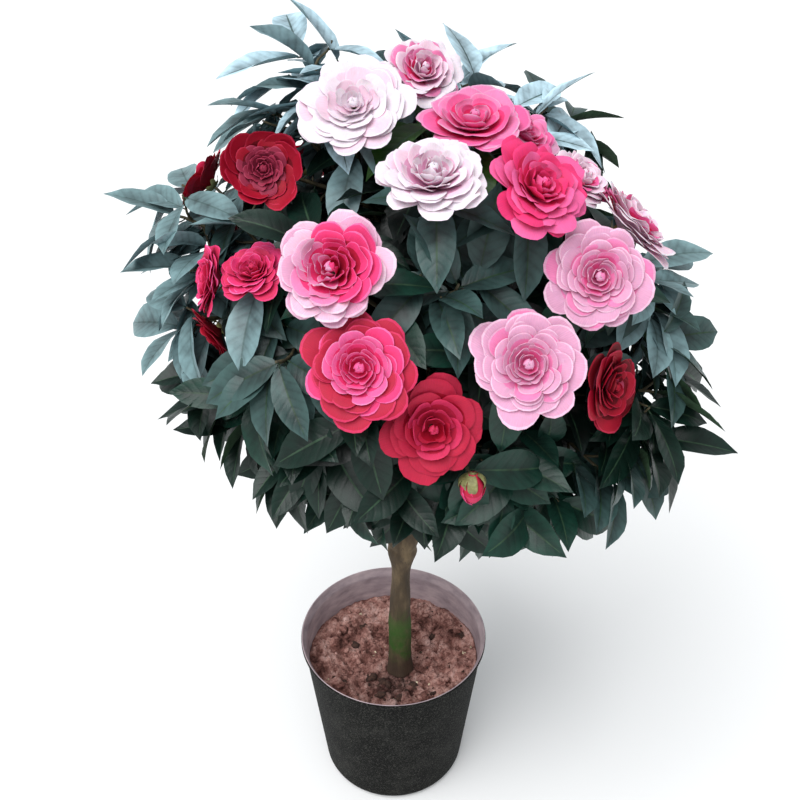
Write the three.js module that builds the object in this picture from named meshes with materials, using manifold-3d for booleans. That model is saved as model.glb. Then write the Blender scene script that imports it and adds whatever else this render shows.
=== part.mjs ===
// Camellia grown as a round-headed standard in a plastic nursery pot.
// Units are millimetres. +Z is up, the front faces -Y, +X is to its right, and the
// origin is the centre of the pot's flat underside.
//
// The plant is worked out in this order: pot and soil, the trunk up to its fork, one
// bough for each foliage mass, then the masses. A mass is a stem that carries on from
// its bough, shoots that leave the stem for points spread over the crown, leaves set
// round each shoot by the golden angle, and the blooms that end some of the shoots.

import * as THREE from 'three';
import { mergeVertices } from 'three/addons/utils/BufferGeometryUtils.js';
import Module from 'manifold-3d';

const wasm = await Module();
wasm.setup();

// ---------------------------------------------------------------- driving dimensions

const GAP = 0.3; // clearance between pieces that meet
const UP = new THREE.Vector3(0, 0, 1);
const GOLDEN_ANGLE = 137.508;
const GOLDEN_RATIO = 0.618034;
const SEED = { first: 101, step: 37 }; // of the shoots, in the order in which they are listed

const POT = {
  height: 254,
  baseRadius: 106,
  shoulderRadius: 131, // outside, just under the lip
  edgeRadius: 14, // rounding between wall and underside
  wall: 2.4,
  floor: 3,
  lipHeight: 9,
  lipFlare: 4,
  sides: 30,
};

const SOIL = {
  wallLevel: 208,
  footLevel: 190, // flat hollow round the trunk's foot
  footRadius: 50,
  ripple: 2.2,
};

const TRUNK = {
  foot: new THREE.Vector3(10, -15, SOIL.footLevel + GAP),
  fork: new THREE.Vector3(14, -11, 446),
  sway: new THREE.Vector3(-5, 4, 0), // sideways pull on the upper half
  footRadius: 19, // the root flare at the soil
  stockRadius: 16.2,
  waistRadius: 13.2, // narrowest, under the fork
  forkRadius: 23,
  sides: 12,
  steps: 9,
};

const CROWN = {
  centre: new THREE.Vector3(40, 0, 800),
  underside: 0.1, // share by which the reach shrinks straight below
  lowSide: { az: 100, el: 42 }, // where the crown is flatter than a ball
  lowSideWidth: 0.72, // cosine of the angle at which that flattening ends
  lowSideLoss: 0.2,
  boughReach: 104, // where a bough ends and its mass's stem begins
  stemReach: 165,
  overhang: 14, // how far a leaf may reach over into a neighbour's wedge
};

// Foliage masses, ring by ring: elevation and bearing of each mass from the centre.
const MASS_RINGS = [
  { elevation: 62, first: -75, step: 120, names: ['top_left', 'top_right', 'top_back'] },
  { elevation: 17, first: -72, step: 72, names: ['left', 'front', 'right', 'back_right', 'back_left'] },
  {
    elevation: -30,
    first: -60,
    step: 60,
    names: ['low_front_left', 'low_front', 'low_right', 'low_back_right', 'low_back_left', 'low_left'],
  },
];

// Boughs, each named for the mass it feeds: what it grows from, how far along that, its
// radius there, and how far it swings outwards as it leaves. Parents come first.
const BOUGHS = [
  { to: 'right', from: 'trunk', at: 0.96, radius: 12, swing: 0.5 },
  { to: 'left', from: 'trunk', at: 0.96, radius: 11, swing: 0.9 },
  { to: 'top_back', from: 'trunk', at: 0.96, radius: 10, swing: 0.4 },
  { to: 'front', from: 'right', at: 0.24, radius: 8, swing: 0.2 },
  { to: 'back_left', from: 'left', at: 0.34, radius: 7.5, swing: 0.2 },
  { to: 'back_right', from: 'right', at: 0.4, radius: 7.5, swing: 0.2 },
  { to: 'low_left', from: 'left', at: 0.5, radius: 7, swing: 0.3 },
  { to: 'low_front_left', from: 'left', at: 0.2, radius: 7, swing: 0.2 },
  { to: 'low_front', from: 'front', at: 0.16, radius: 7, swing: 0.2 },
  { to: 'low_right', from: 'right', at: 0.56, radius: 7, swing: 0.3 },
  { to: 'low_back_right', from: 'back_right', at: 0.3, radius: 6, swing: 0.3 },
  { to: 'low_back_left', from: 'back_left', at: 0.3, radius: 6, swing: 0.3 },
  { to: 'top_left', from: 'top_back', at: 0.62, radius: 7, swing: 0.4 },
  { to: 'top_right', from: 'top_back', at: 0.74, radius: 7, swing: 0.4 },
];
const BOUGH = {
  tipRadius: 4.5,
  follow: 0.7, // share of the parent's own direction in a bough's first direction
  rise: 0.5, // upward turn where it enters its mass
  stretch: 0.36, // length of the curve's handles, as a share of its span
  sides: 6,
  steps: 5,
};

const SHOOTS = {
  count: 98, // spread evenly over the crown, before blooms and sprays take their places
  reach: 240, // from the crown's centre to the tip
  innerCount: 26, // shorter ones that fill the crown behind the others
  innerReach: 196,
  unevenness: 0.07, // share by which the reach varies
  unevenStep: 2.1, // radians of that variation's wave from each shoot to the next
  rise: 0.3, // upward turn of the tip
  sprayFlatness: 0.35, // how steeply a spray's tip looks, as a share of its place's steepness
  lowestRoot: 0.34, // how far up its mass's stem the shoot that strays widest starts
  highestRoot: 0.96,
  widestAngle: 42, // degrees between a mass's bearing and its widest shoot
  stretch: 0.35,
  bends: [1, 0.6, 0.25], // tried in this order, from a full curve to nearly straight
  slides: [0, 0.2, -0.2], // shifts of the root along the stem, tried with each bend
  rootRadius: 3,
  tipRadius: 1.9,
  sides: 3,
  stemSides: 5,
  steps: 2,
  bloomClearance: 12, // degrees kept free of ordinary shoots round a bloom
  sprayClearance: 9,
};

const LEAF = {
  length: 92,
  width: 52,
  thickness: 2.8,
  widest: 0.45, // place of the greatest width, as a share of the length
  thickest: 0.3,
  smallest: 0.86, // range of sizes, as shares of the length and width
  largest: 1.1,
  rootSink: 0.5, // how far the blade starts behind the shoot's centre line
  droop: 0.16, // fall of the tip, as a share of the length
  liftLoss: 0.08, // from each leaf to the one below
  climb: 0.45, // share kept of an upward turn, as blades rather hang than stand
  faceOut: 0.9, // how far the upper side looks out of the crown, and up
  faceUp: 0.7,
  topInset: 5, // from the shoot's tip to its last leaf
  spacing: 13, // between neighbouring leaves along a shoot
  lowest: 0.25, // no leaf grows nearer to the shoot's root than this share of its length
  turns: [0, 30, -30, 60, -60, 90, -90, 130, -130], // tried in this order, in degrees
  clearance: 1.5, // kept to limbs, blooms and the edge of the mass's space
};

// How the leaves of each kind of shoot grow: how many, how far the last one points along
// its shoot, and the downward pull on the whole leaf.
const GROWTH = {
  bloom: { leaves: 4, lift: 0.2, sag: 0.6 },
  spray: { leaves: 6, lift: 0.95, sag: 0.32 },
  leafy: { leaves: 5, lift: 0.6, sag: 0.45 },
  inner: { leaves: 3, lift: 0.55, sag: 0.6 },
};

const BLOOM = {
  // half-section in parts of the radius: receptacle, outer petals, inner petals, heart
  profile: [[0, -0.3], [0.5, -0.24], [1, 0.02], [0.62, 0.26], [0, 0.2]],
  depth: 0.3, // half-depth of the flattened ball that a bloom keeps for itself
  scallop: 0.06, // in and out of the petals' edge
  sides: 10,
  clearance: 0.9, // kept between blooms of neighbouring masses
};

// Blooms that face the front. az and el give the place seen from the crown's centre,
// faceAz and faceEl the way the bloom looks.
const FRONT_BLOOMS = [
  { az: -55, el: 70, reach: 268, faceAz: -8, faceEl: 52, size: 116 },
  { az: -164, el: 85, reach: 262, faceAz: 20, faceEl: 52, size: 88 },
  { az: 28, el: 70, reach: 258, faceAz: 0, faceEl: 75, size: 108 },
  { az: 60, el: 65, reach: 244, faceAz: 60, faceEl: 52, size: 84 },
  { az: 0, el: 53, reach: 277, faceAz: -4, faceEl: 70, size: 106 },
  { az: 33, el: 49, reach: 270, faceAz: 35, faceEl: 50, size: 106 },
  { az: 66, el: 48, reach: 244, faceAz: 60, faceEl: 55, size: 76 },
  { az: 65, el: 33, reach: 264, faceAz: 92, faceEl: 46, size: 106 },
  { az: 41, el: 29, reach: 273, faceAz: -5, faceEl: 28, size: 106 },
  { az: 20, el: 16, reach: 268, faceAz: -6, faceEl: 34, size: 112 },
  { az: 45, el: 2, reach: 254, faceAz: 48, faceEl: 12, size: 92 },
  { az: -15, el: 16, reach: 268, faceAz: -3, faceEl: 36, size: 112 },
  { az: 0, el: 2, reach: 250, faceAz: 8, faceEl: 22, size: 104 },
  { az: -24, el: 34, reach: 268, faceAz: -10, faceEl: 40, size: 110 },
  { az: -71, el: 47, reach: 260, faceAz: 4, faceEl: 25, size: 92 },
  { az: -97, el: 30, reach: 284, faceAz: -110, faceEl: 30, size: 74 },
  { az: -63, el: 21, reach: 264, faceAz: -75, faceEl: 15, size: 76 },
  { az: -52, el: 27, reach: 246, faceAz: -30, faceEl: 66, size: 74 },
  { az: -62, el: 8, reach: 256, faceAz: -62, faceEl: -25, size: 66 },
];
const BUD = { az: 9, el: -13, reach: 270, faceAz: 0, faceEl: -80, size: 28, length: 38 };

// Blooms round the back, spread by the golden ratio.
const BACK_BLOOMS = {
  count: 8,
  firstAz: 150,
  spanAz: 110,
  topEl: 28,
  bottomEl: -24,
  reach: 262,
  size: 98,
  unevenness: 12, // of the size
  unevenStep: 2.4,
  tilt: 0.6, // the way a bloom looks: this share of its elevation, raised by faceRise degrees
  faceRise: 15,
};

// Long sprays that give the crown its ragged outline: place and reach of the tip.
const SPRAYS = [
  { az: -114, el: 61, reach: 314 },
  { az: -124, el: 66, reach: 286 },
  { az: 143, el: 70, reach: 260 },
  { az: 98, el: 61, reach: 260 },
  { az: -99, el: 52, reach: 286 },
  { az: -103, el: 23, reach: 312 },
  { az: -88, el: 23, reach: 306 },
  { az: -80, el: 15, reach: 272 },
  { az: -75, el: 3, reach: 282 },
  { az: -69, el: -10, reach: 264 },
  { az: -62, el: -20, reach: 256 },
  { az: -49, el: -30, reach: 238 },
  { az: -31, el: -38, reach: 228 },
  { az: 82, el: 16, reach: 262 },
  { az: 75, el: 8, reach: 262 },
  { az: 70, el: 0, reach: 278 },
  { az: 66, el: -9, reach: 288 },
  { az: 60, el: -16, reach: 308 },
  { az: 51, el: -25, reach: 292 },
  { az: 36, el: -29, reach: 274 },
  { az: 21, el: -31, reach: 252 },
  { az: 1, el: -35, reach: 230 },
];

// Sprays round the back, spread by the golden ratio.
const BACK_SPRAYS = { count: 8, firstAz: 118, spanAz: 130, topEl: 46, bottomEl: -44, reach: 268 };

// ---------------------------------------------------------------- small helpers

const radians = THREE.MathUtils.degToRad;

// Unit vector for a bearing: azimuth 0 is the front (-Y), positive towards +X.
function bearing(az, el) {
  const flat = Math.cos(radians(el));
  return new THREE.Vector3(
    Math.sin(radians(az)) * flat,
    -Math.cos(radians(az)) * flat,
    Math.sin(radians(el)),
  );
}

function degreesBetween(a, b) {
  return THREE.MathUtils.radToDeg(a.angleTo(b));
}

// Repeatable numbers from 0 to 1.
function makeRandom(seed) {
  let state = (seed * 69621) % 2147483647;
  return () => {
    state = (state * 16807) % 2147483647;
    return state / 2147483647;
  };
}

// ---------------------------------------------------------------- solids

function signedVolume(geometry) {
  const { position } = geometry.attributes;
  const corners = geometry.index.array;
  const [a, b, c] = [new THREE.Vector3(), new THREE.Vector3(), new THREE.Vector3()];
  let volume = 0;
  for (let i = 0; i < corners.length; i += 3) {
    a.fromBufferAttribute(position, corners[i]);
    b.fromBufferAttribute(position, corners[i + 1]);
    c.fromBufferAttribute(position, corners[i + 2]);
    volume += a.dot(b.cross(c)) / 6;
  }
  return volume;
}

// A closed geometry as a solid whose faces point out.
function solidOf(geometry) {
  geometry.deleteAttribute('normal');
  geometry.deleteAttribute('uv');
  const closed = mergeVertices(geometry, 1e-4);
  const triVerts = Uint32Array.from(closed.index.array);
  if (signedVolume(closed) < 0) {
    for (let i = 0; i < triVerts.length; i += 3) {
      [triVerts[i], triVerts[i + 1]] = [triVerts[i + 1], triVerts[i]];
    }
  }
  const vertProperties = Float32Array.from(closed.attributes.position.array);
  return new wasm.Manifold(new wasm.Mesh({ numProp: 3, vertProperties, triVerts }));
}

function geometryOf(solid) {
  const { vertProperties, triVerts } = solid.getMesh();
  const geometry = new THREE.BufferGeometry();
  geometry.setAttribute('position', new THREE.BufferAttribute(vertProperties, 3));
  geometry.setIndex(new THREE.BufferAttribute(triVerts, 1));
  geometry.computeVertexNormals();
  return geometry;
}

function joined(solids) {
  return solids.reduce((whole, solid) => whole.add(solid));
}

// Whether two solids share any space.
function overlap(one, other) {
  const [a, b] = [one.boundingBox(), other.boundingBox()];
  const apart = [0, 1, 2].some((k) => a.max[k] < b.min[k] || b.max[k] < a.min[k]);
  return !apart && !one.intersect(other).isEmpty();
}

// The biggest connected piece, without loose scraps or sealed hollows.
function mainPiece(solid) {
  const pieces = solid.decompose();
  return pieces.reduce((best, piece) => (piece.volume() > best.volume() ? piece : best));
}

// A closed tube along a curve: a cylinder whose rings ride on the curve's frames.
function tube(curve, radiusAt, sides, steps, grow = 0) {
  const geometry = new THREE.CylinderGeometry(1, 1, 1, sides, steps);
  const frames = curve.computeFrenetFrames(steps, false);
  const { position } = geometry.attributes;
  const corner = new THREE.Vector3();
  for (let i = 0; i < position.count; i += 1) {
    corner.fromBufferAttribute(position, i);
    const along = corner.y + 0.5;
    const ring = Math.round(along * steps);
    const radius = radiusAt(along) + grow;
    const past = grow * (ring === steps) - grow * (ring === 0);
    const place = curve
      .getPointAt(along)
      .addScaledVector(frames.tangents[ring], past)
      .addScaledVector(frames.normals[ring], corner.x * radius)
      .addScaledVector(frames.binormals[ring], -corner.z * radius);
    position.setXYZ(i, place.x, place.y, place.z);
  }
  return geometry;
}

// A turned shape about Z from [radius, height] pairs.
function turned(profile, sides) {
  const points = profile.map(([radius, height]) => new THREE.Vector2(radius, height));
  return new THREE.LatheGeometry(points, sides).rotateX(Math.PI / 2);
}

// ---------------------------------------------------------------- pot and soil

function wallRadius(height) {
  const run = height / (POT.height - POT.lipHeight);
  return THREE.MathUtils.lerp(POT.baseRadius, POT.shoulderRadius, run);
}

function pot() {
  const { height, edgeRadius, wall, floor, lipHeight, lipFlare } = POT;
  const shoulder = height - lipHeight;
  const outside = [[0, 0]];
  const edgeSteps = 2;
  for (let i = 0; i <= edgeSteps; i += 1) {
    const turn = (i / edgeSteps) * (Math.PI / 2);
    const middle = wallRadius(edgeRadius) - edgeRadius;
    outside.push([middle + edgeRadius * Math.sin(turn), edgeRadius * (1 - Math.cos(turn))]);
  }
  outside.push([wallRadius(shoulder), shoulder]);
  outside.push([wallRadius(shoulder) + lipFlare, height - 2]);
  outside.push([wallRadius(shoulder) + lipFlare - 1, height]);
  const inside = [
    [wallRadius(shoulder) + lipFlare - wall, height - 0.5],
    [wallRadius(shoulder) - wall, shoulder],
    [wallRadius(edgeRadius) - wall, edgeRadius],
    [wallRadius(edgeRadius) - edgeRadius, floor],
    [0, floor],
  ];
  return solidOf(turned([...outside, ...inside], POT.sides));
}

// Height of the soil's surface at a place in the pot.
function soilLevel(x, y) {
  const radius = Math.hypot(x, y);
  const rise = THREE.MathUtils.smoothstep(radius, SOIL.footRadius, wallRadius(SOIL.wallLevel) * 0.9);
  const ripple = Math.sin(x / 11) * Math.cos(y / 13) * SOIL.ripple * rise;
  return SOIL.footLevel + (SOIL.wallLevel - SOIL.footLevel) * rise + ripple;
}

function soil() {
  const clear = POT.wall + GAP;
  const low = POT.edgeRadius;
  const rim = wallRadius(SOIL.wallLevel) - clear;
  const geometry = turned(
    [
      [0, POT.floor + GAP],
      [wallRadius(low) - low - GAP, POT.floor + GAP],
      [wallRadius(low) - clear, low + GAP],
      [rim, SOIL.wallLevel],
      [rim * 0.87, SOIL.wallLevel],
      [rim * 0.72, SOIL.wallLevel],
      [rim * 0.57, SOIL.wallLevel],
      [SOIL.footRadius, SOIL.wallLevel],
      [0, SOIL.wallLevel],
    ],
    POT.sides,
  );
  const { position } = geometry.attributes;
  for (let i = 0; i < position.count; i += 1) {
    if (position.getZ(i) > SOIL.footLevel) {
      position.setZ(i, soilLevel(position.getX(i), position.getY(i)));
    }
  }
  return solidOf(geometry);
}

// ---------------------------------------------------------------- trunk and boughs

function trunkCurve() {
  const { foot, fork, sway } = TRUNK;
  const third = (fork.z - foot.z) / 3;
  return new THREE.CubicBezierCurve3(
    foot,
    foot.clone().addScaledVector(UP, third),
    fork.clone().addScaledVector(UP, -third).add(sway),
    fork,
  );
}

// Flared at the foot, tapering to the waist, swelling into the fork.
function trunkRadius(along) {
  const { footRadius, stockRadius, waistRadius, forkRadius } = TRUNK;
  const { smoothstep } = THREE.MathUtils;
  const flare = (footRadius - stockRadius) * Math.exp(-along * 12);
  const stock = (stockRadius - waistRadius) * (1 - smoothstep(along, 0.3, 0.75));
  const swell = (forkRadius - waistRadius) * smoothstep(along, 0.76, 1);
  return waistRadius + flare + stock + swell;
}

function massList() {
  return MASS_RINGS.flatMap((ring) =>
    ring.names.map((name, i) => ({
      name,
      direction: bearing(ring.first + i * ring.step, ring.elevation),
    })),
  );
}

// A bough leaves its parent between its parent's line and its mass, swung outwards, and
// enters the mass along the mass's own bearing.
function boughCurve(parent, bough, direction) {
  const start = parent.getPointAt(bough.at);
  const end = CROWN.centre.clone().addScaledVector(direction, CROWN.boughReach);
  const stretch = start.distanceTo(end) * BOUGH.stretch;
  const outwards = new THREE.Vector3(direction.x, direction.y, 0).normalize();
  const leave = parent.getTangentAt(bough.at).multiplyScalar(BOUGH.follow);
  leave.add(end.clone().sub(start).normalize()).addScaledVector(outwards, bough.swing).normalize();
  const enter = direction.clone().addScaledVector(UP, BOUGH.rise).normalize();
  return new THREE.CubicBezierCurve3(
    start,
    start.clone().addScaledVector(leave, stretch),
    end.clone().addScaledVector(enter, -stretch),
    end,
  );
}

// Every limb as a curve and a radius: the trunk first, then the boughs.
function limbList(masses) {
  const limbs = [
    { name: 'trunk', curve: trunkCurve(), radiusAt: trunkRadius, sides: TRUNK.sides, steps: TRUNK.steps },
  ];
  BOUGHS.forEach((bough) => {
    const parent = limbs.find((limb) => limb.name === bough.from);
    const mass = masses.find((each) => each.name === bough.to);
    limbs.push({
      name: bough.to,
      curve: boughCurve(parent.curve, bough, mass.direction),
      radiusAt: (along) => THREE.MathUtils.lerp(bough.radius, BOUGH.tipRadius, along),
      sides: BOUGH.sides,
      steps: BOUGH.steps,
    });
  });
  return limbs;
}

function limbSolid(limb, grow = 0) {
  return solidOf(tube(limb.curve, limb.radiusAt, limb.sides, limb.steps, grow));
}

// Each limb is cut clear of the limbs before it, so that it starts at its parent's bark.
function limbSolids(limbs) {
  const cutters = [];
  return limbs.map((limb) => {
    const solid = cutters.reduce((rest, cutter) => rest.subtract(cutter), limbSolid(limb));
    cutters.push(limbSolid(limb, GAP));
    return mainPiece(solid);
  });
}

// ---------------------------------------------------------------- shoots

function nearestMass(masses, direction) {
  return masses.reduce((best, mass) =>
    mass.direction.dot(direction) > best.direction.dot(direction) ? mass : best,
  );
}

// Rows round the back, each with its place: az and el run over the span without repeating.
function aroundBack({ count, firstAz, spanAz, topEl, bottomEl }) {
  return Array.from({ length: count }, (_, i) => ({
    az: firstAz + spanAz * ((i * GOLDEN_RATIO) % 1),
    el: THREE.MathUtils.lerp(topEl, bottomEl, i / (count - 1)),
  }));
}

function backBlooms() {
  const { reach, size, unevenness, unevenStep, tilt, faceRise } = BACK_BLOOMS;
  return aroundBack(BACK_BLOOMS).map(({ az, el }, i) => {
    const uneven = unevenness * Math.sin(i * unevenStep);
    return { az, el, reach, faceAz: az, faceEl: el * tilt + faceRise, size: size + uneven };
  });
}

function backSprays() {
  return aroundBack(BACK_SPRAYS).map(({ az, el }) => ({ az, el, reach: BACK_SPRAYS.reach }));
}

// Directions spread evenly over the whole crown.
function evenDirections(count) {
  return Array.from({ length: count }, (_, i) => {
    const height = 1 - (2 * i + 1) / count;
    return bearing((i * GOLDEN_ANGLE) % 360, THREE.MathUtils.radToDeg(Math.asin(height)));
  });
}

// How much shorter the crown is in one direction than a ball would be.
function shrinkage(direction) {
  const { underside, lowSide, lowSideWidth, lowSideLoss } = CROWN;
  const facing = direction.dot(bearing(lowSide.az, lowSide.el));
  const near = Math.max(0, facing - lowSideWidth) / (1 - lowSideWidth);
  return underside * Math.max(0, -direction.z) + lowSideLoss * near;
}

// Every shoot of the crown: where it ends, which way its tip looks and what it bears.
function shootList(masses) {
  const shoots = [];
  const add = (kind, direction, reach, facing, bloom) => {
    const tip = CROWN.centre.clone().addScaledVector(direction, reach);
    const mass = nearestMass(masses, direction);
    shoots.push({ kind, direction, tip, facing: facing.normalize(), bloom, mass });
  };
  [...FRONT_BLOOMS, ...backBlooms(), BUD].forEach((row) =>
    add('bloom', bearing(row.az, row.el), row.reach, bearing(row.faceAz, row.faceEl), row),
  );
  [...SPRAYS, ...backSprays()].forEach((row) => {
    const direction = bearing(row.az, row.el);
    const flat = new THREE.Vector3(1, 1, SHOOTS.sprayFlatness);
    add('spray', direction, row.reach, direction.clone().multiply(flat));
  });
  const taken = shoots.map(({ kind, direction }) => ({
    direction,
    clearance: kind === 'bloom' ? SHOOTS.bloomClearance : SHOOTS.sprayClearance,
  }));
  const leafy = (kind, direction, reach, i) => {
    const uneven = 1 + SHOOTS.unevenness * Math.sin(i * SHOOTS.unevenStep);
    const facing = direction.clone().addScaledVector(UP, SHOOTS.rise);
    add(kind, direction, reach * (1 - shrinkage(direction)) * uneven, facing);
  };
  evenDirections(SHOOTS.count)
    .filter((direction) =>
      taken.every((each) => degreesBetween(each.direction, direction) > each.clearance),
    )
    .forEach((direction, i) => leafy('leafy', direction, SHOOTS.reach, i));
  evenDirections(SHOOTS.innerCount).forEach((direction, i) =>
    leafy('inner', direction, SHOOTS.innerReach, i),
  );
  return shoots.map((shoot, i) => ({ ...shoot, seed: SEED.first + i * SEED.step }));
}

// ---------------------------------------------------------------- a mass's own space

// A mass owns the wedge of the crown that lies nearer to its bearing than to any other,
// with an overhang that its leaves may fill where the neighbours have nothing.
function insideWedge(point, mass, masses, overhang) {
  const out = point.clone().sub(CROWN.centre);
  return masses.every((other) => {
    if (other === mass) {
      return true;
    }
    const across = mass.direction.clone().sub(other.direction).normalize();
    return out.dot(across) > -overhang;
  });
}

function limbSegments(limbs) {
  return limbs.flatMap((limb) => {
    const count = 12;
    return limb.curve.getSpacedPoints(count).slice(1).map((end, i) => ({
      line: new THREE.Line3(limb.curve.getPointAt(i / count), end),
      radius: Math.max(limb.radiusAt(i / count), limb.radiusAt((i + 1) / count)),
    }));
  });
}

function clearOfLimbs(point, segments) {
  const nearest = new THREE.Vector3();
  return segments.every(({ line, radius }) => {
    line.closestPointToPoint(point, true, nearest);
    return nearest.distanceTo(point) > radius + LEAF.clearance;
  });
}

// A bloom fills a flattened ball round its centre.
function clearOfBloom(point, { tip, facing, bloom }) {
  const out = point.clone().sub(tip);
  const high = out.dot(facing);
  const wide = Math.sqrt(Math.max(0, out.lengthSq() - high * high));
  const radius = bloom.size / 2 + LEAF.clearance;
  const thickness = (bloom.length ?? bloom.size * BLOOM.depth * 2) / 2 + LEAF.clearance;
  return (wide / radius) ** 2 + (high / thickness) ** 2 > 1;
}

// ---------------------------------------------------------------- blooms and leaves

function place(geometry, at, facing) {
  const turn = new THREE.Quaternion().setFromUnitVectors(UP, facing);
  return geometry.applyQuaternion(turn).translate(at.x, at.y, at.z);
}

function bloomSolid({ tip, facing, bloom }, grow = 0) {
  if (bloom.length) {
    const bud = new THREE.SphereGeometry(1, 6, 4).rotateX(Math.PI / 2);
    bud.scale(bloom.size / 2 + grow, bloom.size / 2 + grow, bloom.length / 2 + grow);
    return solidOf(place(bud, tip, facing));
  }
  const radius = bloom.size / 2 + grow;
  const profile = BLOOM.profile.map(([out, high]) => [out * radius, high * radius]);
  const geometry = turned(profile, BLOOM.sides);
  const { position } = geometry.attributes;
  for (let i = 0; i < position.count; i += 1) {
    const side = Math.floor(i / profile.length);
    const scallop = 1 + BLOOM.scallop * (side % 2 === i % profile.length % 2 ? 1 : -1);
    position.setX(i, position.getX(i) * scallop);
    position.setY(i, position.getY(i) * scallop);
  }
  return solidOf(place(geometry, tip, facing));
}

// How far along its shoot a leaf grows, counted from the last leaf down.
function leafPlace(shoot, curve, number) {
  const behindBloom = shoot.bloom ? shoot.bloom.size * BLOOM.depth : 0;
  return 1 - (LEAF.topInset + number * LEAF.spacing + behindBloom) / curve.getLength();
}

// Where a leaf lies: along is its midrib, face the way its upper side looks.
function leafPose(shoot, curve, number, turn, random) {
  const at = leafPlace(shoot, curve, number);
  const base = curve.getPointAt(at);
  const ahead = curve.getTangentAt(at);
  const side = new THREE.Vector3().crossVectors(ahead, UP).normalize();
  const over = new THREE.Vector3().crossVectors(side, ahead).normalize();
  const angle = radians(shoot.seed + number * GOLDEN_ANGLE + turn);
  const { lift, sag } = GROWTH[shoot.kind];
  const climb = Math.sin(angle) > 0 ? LEAF.climb : 1;
  const along = ahead
    .clone()
    .multiplyScalar(lift - LEAF.liftLoss * number)
    .addScaledVector(side, Math.cos(angle))
    .addScaledVector(over, Math.sin(angle) * climb)
    .addScaledVector(UP, -sag)
    .normalize();
  const face = shoot.direction.clone().multiplyScalar(LEAF.faceOut).addScaledVector(UP, LEAF.faceUp);
  face.addScaledVector(along, -face.dot(along)).normalize();
  const scale = THREE.MathUtils.lerp(LEAF.smallest, LEAF.largest, random);
  return { base, along, face, length: LEAF.length * scale, width: LEAF.width * scale };
}

// A point of the blade: run goes 0 to 1 from root to tip, wide from -1 to 1 across.
function leafPoint(pose, run, wide) {
  const across = new THREE.Vector3().crossVectors(pose.along, pose.face);
  return pose.base
    .clone()
    .addScaledVector(pose.along, run * pose.length - LEAF.rootSink)
    .addScaledVector(across, wide * pose.width / 2)
    .addScaledVector(pose.face, -LEAF.droop * pose.length * run * run);
}

function leafSolid(pose, grow = 0) {
  const geometry = new THREE.OctahedronGeometry(1, 0);
  const { position } = geometry.attributes;
  for (let i = 0; i < position.count; i += 1) {
    const end = Math.round(position.getX(i));
    const edge = Math.abs(position.getY(i)) > 0.5;
    const run = end === 0 ? (edge ? LEAF.widest : LEAF.thickest) : (end + 1) / 2;
    const wide = position.getY(i) * (1 + (2 * grow) / pose.width);
    const spot = leafPoint(pose, run, wide).addScaledVector(pose.along, end * grow);
    spot.addScaledVector(pose.face, position.getZ(i) * (LEAF.thickness / 2 + grow));
    position.setXYZ(i, spot.x, spot.y, spot.z);
  }
  return solidOf(geometry);
}

// Points over a blade, close enough together to find anything it would touch.
function leafSamples(pose) {
  const samples = [];
  const rows = 6;
  for (let row = 2; row <= rows; row += 1) {
    const run = row / rows;
    const half = run < LEAF.widest ? run / LEAF.widest : (1 - run) / (1 - LEAF.widest);
    [-half, 0, half].forEach((wide) => samples.push(leafPoint(pose, run, wide)));
  }
  return samples;
}

// ---------------------------------------------------------------- foliage masses

function stemCurve(mass, limbs) {
  const bough = limbs.find((limb) => limb.name === mass.name).curve;
  const ahead = bough.getTangentAt(1);
  const start = bough.getPointAt(1).addScaledVector(ahead, GAP);
  const end = CROWN.centre.clone().addScaledVector(mass.direction, CROWN.stemReach);
  const bend = start.clone().addScaledVector(ahead, start.distanceTo(end) * 0.5);
  return new THREE.QuadraticBezierCurve3(start, bend, end);
}

// A shoot from its stem to its tip: the further it strays from the mass's bearing, the
// lower it starts. Bend 1 turns it fully the way its tip looks, and slide shifts its root.
function shootCurve(shoot, stem, bend, slide) {
  const { lowestRoot, highestRoot, widestAngle } = SHOOTS;
  const aside = Math.min(1, degreesBetween(shoot.direction, shoot.mass.direction) / widestAngle);
  const root = THREE.MathUtils.lerp(highestRoot, lowestRoot, aside) + slide;
  const from = stem.getPointAt(Math.min(root, highestRoot));
  const stretch = from.distanceTo(shoot.tip) * SHOOTS.stretch;
  const leave = shoot.tip.clone().sub(from).normalize().add(stem.getTangentAt(1)).normalize();
  return new THREE.CubicBezierCurve3(
    from,
    from.clone().addScaledVector(leave, stretch * bend),
    shoot.tip.clone().addScaledVector(shoot.facing, -stretch * bend),
    shoot.tip,
  );
}

// Every twig of the crown, with the curve it follows. Twigs stay well inside the wedge.
function growTwigs(masses, limbs, segments, shoots) {
  const blooms = shoots.filter((shoot) => shoot.bloom);
  const stems = new Map(masses.map((mass) => [mass, stemCurve(mass, limbs)]));
  const twigs = masses.map((mass) => {
    const solid = solidOf(tube(stems.get(mass), () => BOUGH.tipRadius, SHOOTS.stemSides, SHOOTS.steps));
    return { mass, solid };
  });
  shoots.forEach((shoot) => {
    const clear = (point) =>
      insideWedge(point, shoot.mass, masses, -LEAF.clearance) &&
      clearOfLimbs(point, segments) &&
      blooms.every((bloom) => bloom === shoot || clearOfBloom(point, bloom));
    const stem = stems.get(shoot.mass);
    const curve = SHOOTS.bends
      .flatMap((bend) => SHOOTS.slides.map((slide) => shootCurve(shoot, stem, bend, slide)))
      .find((each) => each.getSpacedPoints(8).slice(1).every(clear));
    if (curve) {
      const radiusAt = (along) => THREE.MathUtils.lerp(SHOOTS.rootRadius, SHOOTS.tipRadius, along);
      const solid = solidOf(tube(curve, radiusAt, SHOOTS.sides, SHOOTS.steps));
      twigs.push({ mass: shoot.mass, shoot, curve, solid });
    }
  });
  return twigs;
}

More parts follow.
